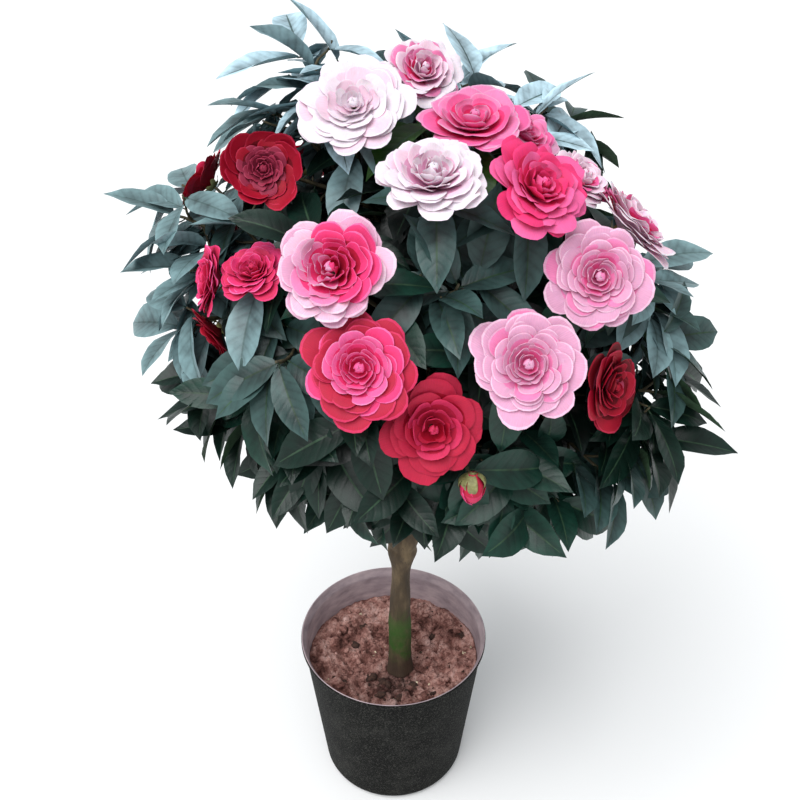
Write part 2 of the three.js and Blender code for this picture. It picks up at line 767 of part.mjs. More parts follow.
// The leaves of one shoot. Each takes the first turn round the shoot at which it touches
// no limb, no bloom, no other leaf and no twig but its own.
function growLeaves(twig, twigs, leaves, masses, segments, blooms) {
  const { shoot, curve, mass } = twig;
  const random = makeRandom(shoot.seed);
  const clear = (point) =>
    insideWedge(point, mass, masses, CROWN.overhang) &&
    clearOfLimbs(point, segments) &&
    blooms.every((bloom) => clearOfBloom(point, bloom));
  for (let number = 0; number < GROWTH[shoot.kind].leaves; number += 1) {
    const size = random();
    if (leafPlace(shoot, curve, number) < LEAF.lowest) {
      return;
    }
    const others = [...twigs.filter((each) => each !== twig), ...leaves];
    const pose = LEAF.turns
      .map((turn) => leafPose(shoot, curve, number, turn, size))
      .filter((each) => leafSamples(each).every(clear))
      .find((each) => {
        const room = leafSolid(each, GAP);
        return !others.some((other) => overlap(room, other.solid));
      });
    if (pose) {
      leaves.push({ mass, solid: leafSolid(pose) });
    }
  }
}

// A bloom is cut clear of those before it that belong to other masses.
function growBlooms(blooms) {
  return blooms.map((bloom, i) => {
    const solid = blooms
      .slice(0, i)
      .filter((other) => other.mass !== bloom.mass)
      .reduce((rest, other) => rest.subtract(bloomSolid(other, BLOOM.clearance)), bloomSolid(bloom));
    return { mass: bloom.mass, solid };
  });
}

// Each mass's green parts, cut clear of the blooms of its neighbours, with its own blooms.
function foliageSolids(masses, limbs, shoots) {
  const segments = limbSegments(limbs);
  const twigs = growTwigs(masses, limbs, segments, shoots);
  const bearing = twigs.filter((twig) => twig.shoot);
  const blooms = bearing.map((twig) => twig.shoot).filter((shoot) => shoot.bloom);
  const leaves = [];
  bearing.forEach((twig) => growLeaves(twig, twigs, leaves, masses, segments, blooms));
  const petals = growBlooms(blooms);
  const partsOf = (mass, parts) => parts.filter((part) => part.mass === mass).map((part) => part.solid);
  return masses.map((mass) => {
    const green = blooms
      .filter((bloom) => bloom.mass !== mass)
      .reduce(
        (rest, bloom) => rest.subtract(bloomSolid(bloom, BLOOM.clearance)),
        joined([...partsOf(mass, twigs), ...partsOf(mass, leaves)]),
      );
    return mainPiece(joined([green, ...partsOf(mass, petals)]));
  });
}

// ---------------------------------------------------------------- the whole plant

const FINISH = {
  pot: { color: 0x2b2d2b, roughness: 0.6 },
  soil: { color: 0x8a6155, roughness: 1 },
  bark: { color: 0x7d7460, roughness: 0.9 },
  leaf: { color: 0x35513c, roughness: 0.45 },
};

function addPiece(group, name, solid, finish) {
  const material = new THREE.MeshStandardMaterial({ ...FINISH[finish], metalness: 0 });
  const mesh = new THREE.Mesh(geometryOf(solid), material);
  mesh.name = name;
  group.add(mesh);
}

const group = new THREE.Group();
addPiece(group, 'pot', pot(), 'pot');
addPiece(group, 'soil', soil(), 'soil');

const masses = massList();
const limbs = limbList(masses);
limbSolids(limbs).forEach((solid, i) => {
  const name = limbs[i].name === 'trunk' ? 'trunk' : `bough_${limbs[i].name}`;
  addPiece(group, name, solid, 'bark');
});

foliageSolids(masses, limbs, shootList(masses)).forEach((solid, i) => {
  addPiece(group, `foliage_${masses[i].name}`, solid, 'leaf');
});

export default group;
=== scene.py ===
"""Looks of the potted camellia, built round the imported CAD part.

Sizes are in millimetres in the frame of the CAD source, and go to metres where a mesh is made.
The limbs, shoots and leaves follow the source's rules, carried on to finer twigs.
"""
import math
from collections import Counter
from itertools import product

import bmesh
import bpy
import numpy as np
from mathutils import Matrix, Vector, noise


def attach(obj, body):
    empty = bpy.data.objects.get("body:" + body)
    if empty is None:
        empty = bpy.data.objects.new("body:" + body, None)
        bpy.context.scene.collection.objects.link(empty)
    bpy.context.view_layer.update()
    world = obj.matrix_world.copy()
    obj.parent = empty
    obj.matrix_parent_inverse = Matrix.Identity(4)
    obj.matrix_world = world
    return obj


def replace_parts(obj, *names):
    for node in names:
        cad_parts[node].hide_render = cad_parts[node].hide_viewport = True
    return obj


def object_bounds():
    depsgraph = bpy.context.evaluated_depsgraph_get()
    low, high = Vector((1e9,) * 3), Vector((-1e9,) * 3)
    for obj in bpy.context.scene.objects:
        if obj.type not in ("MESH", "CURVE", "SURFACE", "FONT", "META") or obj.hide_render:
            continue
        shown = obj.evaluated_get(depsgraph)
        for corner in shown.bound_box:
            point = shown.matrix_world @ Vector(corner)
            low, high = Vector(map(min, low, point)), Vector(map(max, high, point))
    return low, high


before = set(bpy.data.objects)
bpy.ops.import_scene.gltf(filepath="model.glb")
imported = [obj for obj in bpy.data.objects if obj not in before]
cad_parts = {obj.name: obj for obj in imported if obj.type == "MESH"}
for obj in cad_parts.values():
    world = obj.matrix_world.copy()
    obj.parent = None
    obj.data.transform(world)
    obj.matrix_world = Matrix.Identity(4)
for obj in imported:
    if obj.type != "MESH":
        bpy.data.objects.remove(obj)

CAD_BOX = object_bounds()
MM = 0.001
UP = np.array((0.0, 0.0, 1.0))
GOLDEN_ANGLE, GOLDEN_RATIO = 137.508, 0.618034

# ---- sizes shared with the source

POT_HEIGHT, POT_BASE, POT_SHOULDER = 254, 106, 131
POT_WALL, POT_EDGE, LIP_HEIGHT, LIP_FLARE = 2.4, 14, 9, 4
SOIL_WALL_LEVEL, SOIL_FOOT_LEVEL, SOIL_FOOT_RADIUS, SOIL_RIPPLE = 208, 190, 50, 2.2

TRUNK_FOOT, TRUNK_FORK = np.array((10, -15, 190.3)), np.array((14, -11, 446.0))
TRUNK_SWAY = np.array((-5, 4, 0.0))
FOOT_RADIUS, STOCK_RADIUS, WAIST_RADIUS, FORK_RADIUS = 19, 16.2, 13.2, 23

CENTRE = np.array((40.0, 0.0, 800.0))
UNDERSIDE, BOUGH_REACH, STEM_REACH = 0.1, 104, 165
LOW_SIDE, LOW_SIDE_WIDTH, LOW_SIDE_LOSS = (100, 42), 0.72, 0.2

MASS_RINGS = (  # elevation, first bearing, step, names
    (62, -75, 120, ("top_left", "top_right", "top_back")),
    (17, -72, 72, ("left", "front", "right", "back_right", "back_left")),
    (-30, -60, 60, (
        "low_front_left", "low_front", "low_right", "low_back_right", "low_back_left", "low_left",
    )),
)
BOUGHS = (  # mass fed, parent, share along it, radius, outward swing
    ("right", "trunk", 0.96, 12, 0.5), ("left", "trunk", 0.96, 11, 0.9),
    ("top_back", "trunk", 0.96, 10, 0.4), ("front", "right", 0.24, 8, 0.2),
    ("back_left", "left", 0.34, 7.5, 0.2), ("back_right", "right", 0.4, 7.5, 0.2),
    ("low_left", "left", 0.5, 7, 0.3), ("low_front_left", "left", 0.2, 7, 0.2),
    ("low_front", "front", 0.16, 7, 0.2), ("low_right", "right", 0.56, 7, 0.3),
    ("low_back_right", "back_right", 0.3, 6, 0.3), ("low_back_left", "back_left", 0.3, 6, 0.3),
    ("top_left", "top_back", 0.62, 7, 0.4), ("top_right", "top_back", 0.74, 7, 0.4),
)
BOUGH_TIP, BOUGH_FOLLOW, BOUGH_RISE, BOUGH_STRETCH = 4.5, 0.7, 0.5, 0.36

SHOOT_COUNT, SHOOT_REACH, INNER_COUNT, INNER_REACH = 98, 240, 26, 196
UNEVENNESS, SHOOT_RISE, SPRAY_FLATNESS = 0.07, 0.3, 0.35
LOWEST_ROOT, HIGHEST_ROOT, WIDEST_ANGLE = 0.34, 0.96, 42
SHOOT_STRETCH, SHOOT_BENDS, SHOOT_SLIDES = 0.35, (1, 0.6, 0.25), (0, 0.2, -0.2)
BLOOM_CLEARANCE, SPRAY_CLEARANCE = 12, 9
LIMB_CLEARANCE, BLOOM_DEPTH = 1.5, 0.3

FRONT_BLOOMS = (  # bearing and height from the centre, reach, way it looks, size, colouring
    (-55, 70, 268, -8, 52, 116, "blush"), (-164, 85, 262, 20, 52, 88, "striped"),
    (28, 70, 258, 0, 75, 108, "hot"), (60, 65, 244, 60, 52, 84, "pink"),
    (0, 53, 277, -4, 70, 106, "white"), (33, 49, 270, 35, 50, 106, "hot_red"),
    (66, 48, 244, 60, 55, 76, "flushed"), (65, 33, 264, 92, 46, 106, "flushed"),
    (41, 29, 273, -5, 28, 106, "rose"), (20, 16, 268, -6, 34, 112, "rose"),
    (45, 2, 254, 48, 12, 92, "crimson"), (-15, 16, 268, -3, 36, 112, "coral"),
    (0, 2, 250, 8, 22, 104, "red"), (-24, 34, 268, -10, 40, 110, "variegated"),
    (-71, 47, 260, 4, 25, 92, "cup"), (-97, 30, 284, -110, 30, 74, "red"),
    (-63, 21, 264, -75, 15, 76, "ruby"), (-52, 27, 246, -30, 66, 74, "ruby"),
    (-62, 8, 256, -62, -25, 66, "crimson"),
)
BUD = (9, -13, 270, 0, -80, 28, "bud", 38)  # the same, and its length
BACK_BLOOMS, BACK_SPRAYS = (8, 150, 110, 28, -24), (8, 118, 130, 46, -44)  # for around_back
BACK_BLOOM_REACH, BACK_SPRAY_REACH, BACK_BLOOM_SIZE, BACK_BLOOM_SPREAD = 262, 268, 98, 12
BACK_STYLES = ("rose", "coral", "blush", "red", "variegated", "hot", "rose", "crimson")
SPRAYS = (  # bearing and height from the centre, reach
    (-114, 61, 314), (-124, 66, 286), (143, 70, 260), (98, 61, 260), (-99, 52, 286), (-103, 23, 312),
    (-88, 23, 306), (-80, 15, 272), (-75, 3, 282), (-69, -10, 264), (-62, -20, 256), (-49, -30, 238),
    (-31, -38, 228), (82, 16, 262), (75, 8, 262), (70, 0, 278), (66, -9, 288), (60, -16, 308),
    (51, -25, 292), (36, -29, 274), (21, -31, 252), (1, -35, 230),
)


# ---- helpers

def unit(v):
    return v / np.linalg.norm(v)


def smoothstep(x, low, high):
    t = np.clip((np.asarray(x, float) - low) / (high - low), 0, 1)
    return t * t * (3 - 2 * t)


def bearing(az, el):
    az, el = math.radians(az), math.radians(el)
    return np.array((math.sin(az) * math.cos(el), -math.cos(az) * math.cos(el), math.sin(el)))


def degrees_between(a, b):
    return math.degrees(math.acos(max(-1.0, min(1.0, float(a @ b)))))


def make_random(seed):
    """Repeatable numbers from 0 to 1."""
    state = (seed * 69621) % 2147483647

    def draw(low=0.0, high=1.0):
        nonlocal state
        state = (state * 16807) % 2147483647
        return low + (high - low) * state / 2147483647

    return draw


def circle(sides):
    return np.linspace(0, 2 * math.pi, sides, endpoint=False)


class Curve:
    """A Bezier curve, read by its share of length."""

    TS = np.linspace(0, 1, 201)

    def __init__(self, *points):
        self.points = np.array(points, float)
        steps = np.linalg.norm(np.diff(self._at(self.TS, self.points), axis=0), axis=1)
        self.lengths = np.concatenate([[0], np.cumsum(steps)])
        self.length = float(self.lengths[-1])

    @staticmethod
    def _at(t, points):
        t = np.atleast_1d(t)[:, None]
        n = len(points) - 1
        return sum(math.comb(n, k) * (1 - t) ** (n - k) * t**k * points[k] for k in range(n + 1))

    def _t(self, share):
        return np.interp(np.atleast_1d(share) * self.length, self.lengths, self.TS)

    def points_at(self, share):
        return self._at(self._t(share), self.points)

    def tangents_at(self, share):
        slopes = self._at(self._t(share), np.diff(self.points, axis=0))
        return slopes / np.linalg.norm(slopes, axis=1)[:, None]

    def point(self, share):
        return self.points_at(share)[0]

    def tangent(self, share):
        return self.tangents_at(share)[0]


# ---- meshes

def quads_of(index):
    """The quads between neighbours in a grid of vertex numbers."""
    return np.stack([index[:-1, :-1], index[:-1, 1:], index[1:, 1:], index[1:, :-1]], -1).reshape(-1, 4)


def ring_quads(rings, sides, closed=False):
    """The quads between rings of vertices, and if closed from the last ring back to the first."""
    index = np.arange(rings * sides).reshape(rings, sides)
    index = np.hstack([index, index[:, :1]])
    return quads_of(np.vstack([index, index[:1]]) if closed else index)


def fan(hub, ring, sides, forward):
    """The triangles from a hub to the ring that starts at vertex number ring."""
    k = np.arange(sides)
    ends = [ring + k, ring + (k + 1) % sides]
    return np.stack([np.full(sides, hub), *(ends if forward else ends[::-1])], -1)


def lathe(radii, heights, angles):
    heights = np.broadcast_to(heights, (len(radii), len(angles)))
    return np.stack([radii * np.cos(angles), radii * np.sin(angles), heights], -1).reshape(-1, 3)


def read(items, key, width, kind=np.float32):
    values = np.empty(len(items) * width, kind)
    items.foreach_get(key, values)
    return values.reshape(-1, width)


def write(items, key, values, kind=np.float32):
    items.foreach_set(key, values.astype(kind).ravel())


def add_object(name, data):
    made = bpy.data.objects.new(name, data)
    bpy.context.scene.collection.objects.link(made)
    return made


def ride_piece(mesh, name):
    piece = add_object(name, mesh)
    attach(piece, "root")
    return piece


class Pile:
    """Vertices and faces of one piece, gathered block by block."""

    def __init__(self):
        self.verts, self.faces, self.kinds, self.uvs, self.rims, self.count = [], [], [], [], [], 0

    def add(self, verts, faces, kinds, uvs=None, rim=None):
        """Each block of faces has its materials in kinds. Edges between two rim vertices are sharp."""
        for block, kind in zip(faces, kinds):
            self.faces.append(block + self.count)
            self.kinds.append(np.broadcast_to(kind, (len(block),)))
        self.verts.append(verts)
        self.uvs.append(np.zeros((len(verts), 2)) if uvs is None else uvs)
        self.rims.append(np.zeros(len(verts), bool) if rim is None else rim)
        self.count += len(verts)

    def tube(self, curve, radius_at, sides, steps, kind=0):
        """A closed tube along a curve."""
        shares = np.linspace(0, 1, steps + 1)
        centres, tangents = curve.points_at(shares), curve.tangents_at(shares)
        normal = unit(np.cross(tangents[0], UP if abs(tangents[0][2]) < 0.9 else np.array((1.0, 0, 0))))
        angles, rings = circle(sides), []
        for centre, tangent, share in zip(centres, tangents, shares):
            normal = unit(normal - tangent * (normal @ tangent))
            ring = np.outer(np.cos(angles), normal) + np.outer(np.sin(angles), np.cross(tangent, normal))
            rings.append(centre + ring * radius_at(share))
        first, top = (steps + 1) * sides, steps * sides
        caps = np.concatenate([fan(first, 0, sides, False), fan(first + 1, top, sides, True)])
        verts = np.concatenate([*rings, centres[:1], centres[-1:]])
        self.add(verts, [ring_quads(steps + 1, sides), caps], [kind, kind])

    def piece(self, name, materials, slot):
        loops = np.concatenate([block.ravel() for block in self.faces])
        sizes = np.concatenate([np.full(len(block), block.shape[1]) for block in self.faces])
        mesh = bpy.data.meshes.new(name)
        mesh.vertices.add(self.count)
        write(mesh.vertices, "co", np.concatenate(self.verts) * MM)
        mesh.loops.add(len(loops))
        write(mesh.loops, "vertex_index", loops, np.int32)
        mesh.polygons.add(len(sizes))
        write(mesh.polygons, "loop_start", np.cumsum(sizes) - sizes, np.int32)
        write(mesh.polygons, "material_index", np.concatenate(self.kinds), np.int32)
        write(mesh.polygons, "use_smooth", np.ones(len(sizes)), bool)
        write(mesh.uv_layers.new(name="blade").data, "uv", np.concatenate(self.uvs)[loops])
        for material in materials:
            mesh.materials.append(material)
        mesh.update(calc_edges=True)
        rims, ends = np.concatenate(self.rims), read(mesh.edges, "vertices", 2, np.int32)
        write(mesh.edges, "use_edge_sharp", rims[ends].all(-1), bool)
        return ride_piece(mesh, name)


# ---- limbs

def trunk_radius(along):
    along = float(along)
    flare = (FOOT_RADIUS - STOCK_RADIUS) * math.exp(-along * 12)
    stock = (STOCK_RADIUS - WAIST_RADIUS) * (1 - float(smoothstep(along, 0.3, 0.75)))
    swell = (FORK_RADIUS - WAIST_RADIUS) * float(smoothstep(along, 0.76, 1))
    return WAIST_RADIUS + flare + stock + swell


MASSES = {
    name: bearing(first + i * step, elevation)
    for elevation, first, step, names in MASS_RINGS
    for i, name in enumerate(names)
}


def bough_curve(parent, at, swing, direction):
    start = parent.point(at)
    end = CENTRE + direction * BOUGH_REACH
    stretch = np.linalg.norm(end - start) * BOUGH_STRETCH
    outwards = unit(direction * (1, 1, 0))
    leave = unit(parent.tangent(at) * BOUGH_FOLLOW + unit(end - start) + outwards * swing)
    enter = unit(direction + UP * BOUGH_RISE)
    return Curve(start, start + leave * stretch, end - enter * stretch, end)


def limb_list():
    third = (TRUNK_FORK[2] - TRUNK_FOOT[2]) / 3
    curve = Curve(TRUNK_FOOT, TRUNK_FOOT + UP * third, TRUNK_FORK - UP * third + TRUNK_SWAY, TRUNK_FORK)
    limbs = {"trunk": (curve, trunk_radius)}
    for name, parent, at, radius, swing in BOUGHS:
        curve = bough_curve(limbs[parent][0], at, swing, MASSES[name])
        limbs[name] = (curve, lambda along, radius=radius: radius + (BOUGH_TIP - radius) * along)
    return limbs


LIMBS = limb_list()


def limb_segments():
    starts, ends, radii = [], [], []
    for curve, radius_at in LIMBS.values():
        spots = curve.points_at(np.linspace(0, 1, 13))
        starts.append(spots[:-1])
        ends.append(spots[1:])
        radii += [max(radius_at(i / 12), radius_at((i + 1) / 12)) for i in range(12)]
    return np.concatenate(starts), np.concatenate(ends), np.array(radii)


SEGMENTS = limb_segments()


def clear_of_limbs(points):
    starts, ends, radii = SEGMENTS
    lines = ends - starts
    out = points[:, None] - starts
    share = np.clip((out * lines).sum(-1) / (lines * lines).sum(-1), 0, 1)
    gap = np.linalg.norm(out - share[..., None] * lines, axis=-1)
    return bool((gap > radii + LIMB_CLEARANCE).all())


# ---- shoots

class Shoot:
    def __init__(self, kind, direction, reach, facing, number, bloom=None):
        self.kind, self.direction, self.reach, self.bloom = kind, direction, reach, bloom
        self.facing = unit(facing)
        self.tip = CENTRE + direction * reach
        self.mass = max(MASSES, key=lambda name: float(MASSES[name] @ direction))
        self.seed = 101 + number * 37
        self.curve = None


def even_directions(count):
    heights = [1 - (2 * i + 1) / count for i in range(count)]
    return [bearing(i * GOLDEN_ANGLE % 360, math.degrees(math.asin(h))) for i, h in enumerate(heights)]


def around_back(count, first_az, span_az, top_el, bottom_el):
    """Bearings and heights of places strewn over the far side."""
    return [
        (first_az + span_az * (i * GOLDEN_RATIO % 1), top_el + (bottom_el - top_el) * i / (count - 1))
        for i in range(count)
    ]


def back_blooms():
    rows = []
    for i, (az, el) in enumerate(around_back(*BACK_BLOOMS)):
        size = BACK_BLOOM_SIZE + BACK_BLOOM_SPREAD * math.sin(i * 2.4)
        rows.append((az, el, BACK_BLOOM_REACH, az, el * 0.6 + 15, size, BACK_STYLES[i]))
    return rows


def shrinkage(direction):
    near = max(0, float(direction @ bearing(*LOW_SIDE)) - LOW_SIDE_WIDTH) / (1 - LOW_SIDE_WIDTH)
    return UNDERSIDE * max(0, -direction[2]) + LOW_SIDE_LOSS * near


def shoot_list():
    shoots = []

    def add(kind, direction, reach, facing, bloom=None):
        shoots.append(Shoot(kind, direction, reach, facing, len(shoots), bloom))

    for row in [*FRONT_BLOOMS, *back_blooms(), BUD]:
        length = row[7] if len(row) > 7 else row[5] * BLOOM_DEPTH * 2
        bloom = {"size": row[5], "style": row[6], "length": length}
        add("bloom", bearing(*row[:2]), row[2], bearing(*row[3:5]), bloom)
    back = [(az, el, BACK_SPRAY_REACH) for az, el in around_back(*BACK_SPRAYS)]
    for az, el, reach in [*SPRAYS, *back]:
        add("spray", bearing(az, el), reach, bearing(az, el) * (1, 1, SPRAY_FLATNESS))
    taken = [(s.direction, BLOOM_CLEARANCE if s.kind == "bloom" else SPRAY_CLEARANCE) for s in shoots]

    free = [
        direction
        for direction in even_directions(SHOOT_COUNT)
        if all(degrees_between(other, direction) > room for other, room in taken)
    ]
    inner = even_directions(INNER_COUNT)
    for kind, reach, directions in (("leafy", SHOOT_REACH, free), ("inner", INNER_REACH, inner)):
        for i, direction in enumerate(directions):
            uneven = 1 + UNEVENNESS * math.sin(i * 2.1)
            add(kind, direction, reach * (1 - shrinkage(direction)) * uneven, direction + UP * SHOOT_RISE)
    return shoots


SHOOTS = shoot_list()
BLOOMS = [shoot for shoot in SHOOTS if shoot.bloom]
BLOOM_TIPS, BLOOM_FACINGS = (np.array([getattr(s, key) for s in BLOOMS]) for key in ("tip", "facing"))
BLOOM_RADII, BLOOM_HALVES = (np.array([s.bloom[key] / 2 for s in BLOOMS]) for key in ("size", "length"))


def is_clear(points, but=None, slim=1.0):
    """Whether the points keep off the limbs and out of every bloom's flattened ball, but one."""
    out = points[:, None] - BLOOM_TIPS
    high = (out * BLOOM_FACINGS).sum(-1)
    wide2 = np.maximum(0, (out * out).sum(-1) - high * high)
    depths = BLOOM_HALVES * slim + LIMB_CLEARANCE
    inside = wide2 / (BLOOM_RADII + LIMB_CLEARANCE) ** 2 + (high / depths) ** 2 <= 1
    if but is not None:
        inside[:, BLOOMS.index(but)] = False
    return clear_of_limbs(points) and not inside.any()


def inside_wedge(points, mass):
    """Whether the points are nearer to their own mass than to any other."""
    across = np.array([unit(MASSES[mass] - other) for name, other in MASSES.items() if name != mass])
    return bool(((points - CENTRE) @ across.T > LIMB_CLEARANCE).all())


def stem_curve(mass):
    bough = LIMBS[mass][0]
    ahead = bough.tangent(1)
    start = bough.point(1) + ahead * 0.3
    end = CENTRE + MASSES[mass] * STEM_REACH
    return Curve(start, start + ahead * np.linalg.norm(end - start) * 0.5, end)


STEMS = {mass: stem_curve(mass) for mass in MASSES}


def shoot_curve(shoot, bend, slide):
    stem = STEMS[shoot.mass]
    aside = min(1, degrees_between(shoot.direction, MASSES[shoot.mass]) / WIDEST_ANGLE)
    start = stem.point(min(HIGHEST_ROOT, HIGHEST_ROOT + (LOWEST_ROOT - HIGHEST_ROOT) * aside + slide))
    stretch = np.linalg.norm(shoot.tip - start) * SHOOT_STRETCH
    leave = unit(unit(shoot.tip - start) + stem.tangent(1))
    return Curve(start, start + leave * stretch * bend, shoot.tip - shoot.facing * stretch * bend, shoot.tip)


def grow_shoots():
    for shoot in SHOOTS:
        for bend, slide in product(SHOOT_BENDS, SHOOT_SLIDES):
            curve = shoot_curve(shoot, bend, slide)
            spots = curve.points_at(np.linspace(0, 1, 9)[1:])
            own = shoot if shoot.bloom else None
            if inside_wedge(spots, shoot.mass) and is_clear(spots, own):
                shoot.curve = curve
                break


# ---- leaves

LEAF_LENGTH, LEAF_WIDTH, LEAF_THICK, PETIOLE = 86, 39, 0.35, 5
LEAF_ROWS = np.array((0.04, 0.14, 0.27, 0.40, 0.53, 0.66, 0.78, 0.90))
LEAF_COLS = np.array((-1, -0.55, -0.055, 0.055, 0.55, 1))
PROBE_RUN, PROBE_WIDE = np.repeat((0.15, 0.35, 0.55, 0.75, 0.95), 3), np.tile((-0.7, 0, 0.7), 5)
LEAF_TURNS = (0, 30, -30, 60, -60, 95, -95, 140, -140)  # tried in this order, in degrees
LEAF_GAP, LEAF_GAP_GROWTH, FIRST_LEAF, LOWEST_LEAF = 7, 1.6, 4.0, 0.2
CELL, MOST_CROWDED = 7.5, 2  # a leaf may share this many cells with other leaves
CLIMB = 0.45  # share kept of an upward turn
OVERHANG = 16  # a leaf may pass the part's box by this much
HEM_LEVEL, HEM_SLOPE = 385, 1.0  # the crown's underside rises towards the front
SLIM = 0.62  # a bloom's own depth as a share of what the source keeps clear
TWIG_PLACES, TWIG_LENGTH, TWIG_VARIATION = (0.5, 0.68, 0.84), 34, 26
TWIG_DEPTH, TWIG_LIFT = 6, 6  # how far a side twig stays inside its shoot's tip, and rises


def two_sided(rows, cols, edge, ends):
    """Run, place across and side (1 top, 0 rim, -1 under) of a sheet's vertices, and its two grids."""
    run, wide, inner = np.repeat(rows, len(cols)), np.tile(cols, len(rows)), ~edge
    over = np.arange(run.size).reshape(edge.shape)
    under = over.copy()
    under[inner] = run.size + len(ends) + np.arange(inner.sum())
    inner = inner.ravel()
    side = np.concatenate([inner.astype(int), np.zeros(len(ends), int), np.full(inner.sum(), -1)])
    run = np.concatenate([run, ends, run[inner]])
    return run, np.concatenate([wide, np.zeros(len(ends)), wide[inner]]), side, over, under


def leaf_template():
    """The sheet of a leaf, whose root and tip are single vertices, with its blocks of faces."""
    edge = np.zeros((len(LEAF_ROWS), len(LEAF_COLS)), bool)
    edge[:, [0, -1]] = True
    run, wide, side, over, under = two_sided(LEAF_ROWS, LEAF_COLS, edge, (0.0, 1.0))
    root, faces = np.full(len(LEAF_COLS) - 1, over.size), []
    for grid in (over, under):
        ends = [(root, grid[0, 1:], grid[0, :-1]), (grid[-1, :-1], grid[-1, 1:], root + 1)]
        faces += [quads_of(grid), np.concatenate([np.stack(end, -1) for end in ends])]
    return run, wide, side, [faces[0], faces[1], faces[2][:, (0, 3, 2, 1)], faces[3][:, ::-1]]


LEAF_RUN, LEAF_WIDE, LEAF_SIDE, LEAF_FACES = leaf_template()
LEAF_RIB = np.tile(np.arange(len(LEAF_COLS) - 1) == len(LEAF_COLS) // 2 - 1, len(LEAF_ROWS) - 1)


def leaf_half_width(run):
    """Half width along a blade, elliptic with a drawn-out tip, 1 at its widest."""
    return np.sin(math.pi * run**0.88) ** 0.68 * (1 - 0.5 * smoothstep(run, 0.72, 1))


def leaf_points(poses, run, wide, side):
    """Points of every pose's blade: an array (poses, points, 3)."""
    def column(key):
        return np.array([pose[key] for pose in poses], float)[:, None]

    def turned(one, other, angle):
        return one * np.cos(angle)[..., None] + other * np.sin(angle)[..., None]

    base, along, face = (np.array([pose[k] for pose in poses])[:, None] for k in ("base", "along", "face"))
    length, bend = column("length"), column("bend")
    turn, twist = bend * run, column("twist") * run
    forward, fall = length * np.sin(turn) / bend, length * (1 - np.cos(turn)) / bend
    out = wide * (column("width") / 2 * leaf_half_width(np.clip(run, 0, 1)))
    fold = column("fold") * (1 - 0.35 * run)
    wave = np.sin(run * 13 + column("phase")) * wide**2 * np.sin(math.pi * run)
    rib = -0.7 * np.exp(-((wide * 6) ** 2)) * np.sin(math.pi * np.clip(run, 0.02, 0.98)) ** 0.5
    rise = np.abs(out) * np.sin(fold) + wave + rib + side * LEAF_THICK
    # the blade's own frame turns down with its bend and round with its twist
    sideways = turned(np.cross(along, face), turned(face, along, turn), twist)
    upward = np.cross(sideways, turned(along, -face, turn))
    spine = base + along * (forward + PETIOLE)[..., None] - face * fall[..., None]
    return spine + sideways * (out * np.cos(fold))[..., None] + upward * rise[..., None]


class Leaves:
    """The poses of all leaves, and how many leaves pass each cell of space."""

    def __init__(self):
        self.poses, self.cells = [], Counter()

    def cells_of(self, points):
        return {tuple(c) for c in np.floor(points / CELL).astype(int)}

    def crowding(self, points):
        return sum(self.cells[cell] for cell in self.cells_of(points))

    def take(self, pose, points):
        self.poses.append(pose)
        self.cells.update(self.cells_of(points))


def leaf_frame(curve, at, angle, lift, sag, direction):
    """Base, midrib direction and upper side of a leaf on a twig."""
    base, ahead = curve.point(at), curve.tangent(at)
    side = unit(np.cross(ahead, UP))
    over = unit(np.cross(side, ahead))
    climb = CLIMB if math.sin(angle) > 0 else 1
    along = unit(ahead * lift + side * math.cos(angle) + over * math.sin(angle) * climb - UP * sag)
    face = direction * 0.9 + UP * 0.7
    return {"base": base, "along": along, "face": unit(face - along * (face @ along))}


def in_crown(points):
    """Whether a leaf keeps within the part's box, give or take, and above the crown's hem."""
    low, high = np.array(CAD_BOX) / MM
    boxed = (points > low - OVERHANG).all() and (points < high + OVERHANG).all()
    return bool(boxed and (points[:, 2] > HEM_LEVEL - points[:, 1] * HEM_SLOPE).all())


def grow_leaves(leaves, curve, seed, shoot, growth, inset=FIRST_LEAF, scale=1.0):
    """Leaves round one twig of a shoot, from its tip down, each turned to where it has most room."""
    draw, (count, lift, sag) = make_random(seed), growth
    for number in range(count):
        at = 1 - inset / curve.length
        inset += LEAF_GAP + number * LEAF_GAP_GROWTH
        size, bend = draw(0.8, 1.12) * scale, draw(0.25, 0.85)
        if at < LOWEST_LEAF:
            return
        shape = {
            "length": LEAF_LENGTH * size, "bend": bend, "fold": 0.18 + 0.3 * ((seed + number * 3) % 7) / 6,
            "width": LEAF_WIDTH * size * (0.9 + 0.2 * ((seed * 7 + number * 5) % 11) / 10),
            "phase": seed + number * 2.0, "twist": 0.5 * math.sin(seed + number * 1.7),
            "tint": tint_of(shoot),
        }
        best = None
        for turn in LEAF_TURNS:
            angle = math.radians(seed + number * GOLDEN_ANGLE + turn)
            pose = shape | leaf_frame(curve, at, angle, lift - 0.07 * number, sag, shoot.direction)
            points = leaf_points([pose], PROBE_RUN, PROBE_WIDE, 0)[0]
            if not (in_crown(points) and is_clear(points, slim=SLIM)):
                continue
            crowd = leaves.crowding(points)
            if best is None or crowd < best[0]:
                best = (crowd, pose, points)
            if crowd == 0:
                break
        if best and best[0] <= MOST_CROWDED:
            leaves.take(*best[1:])


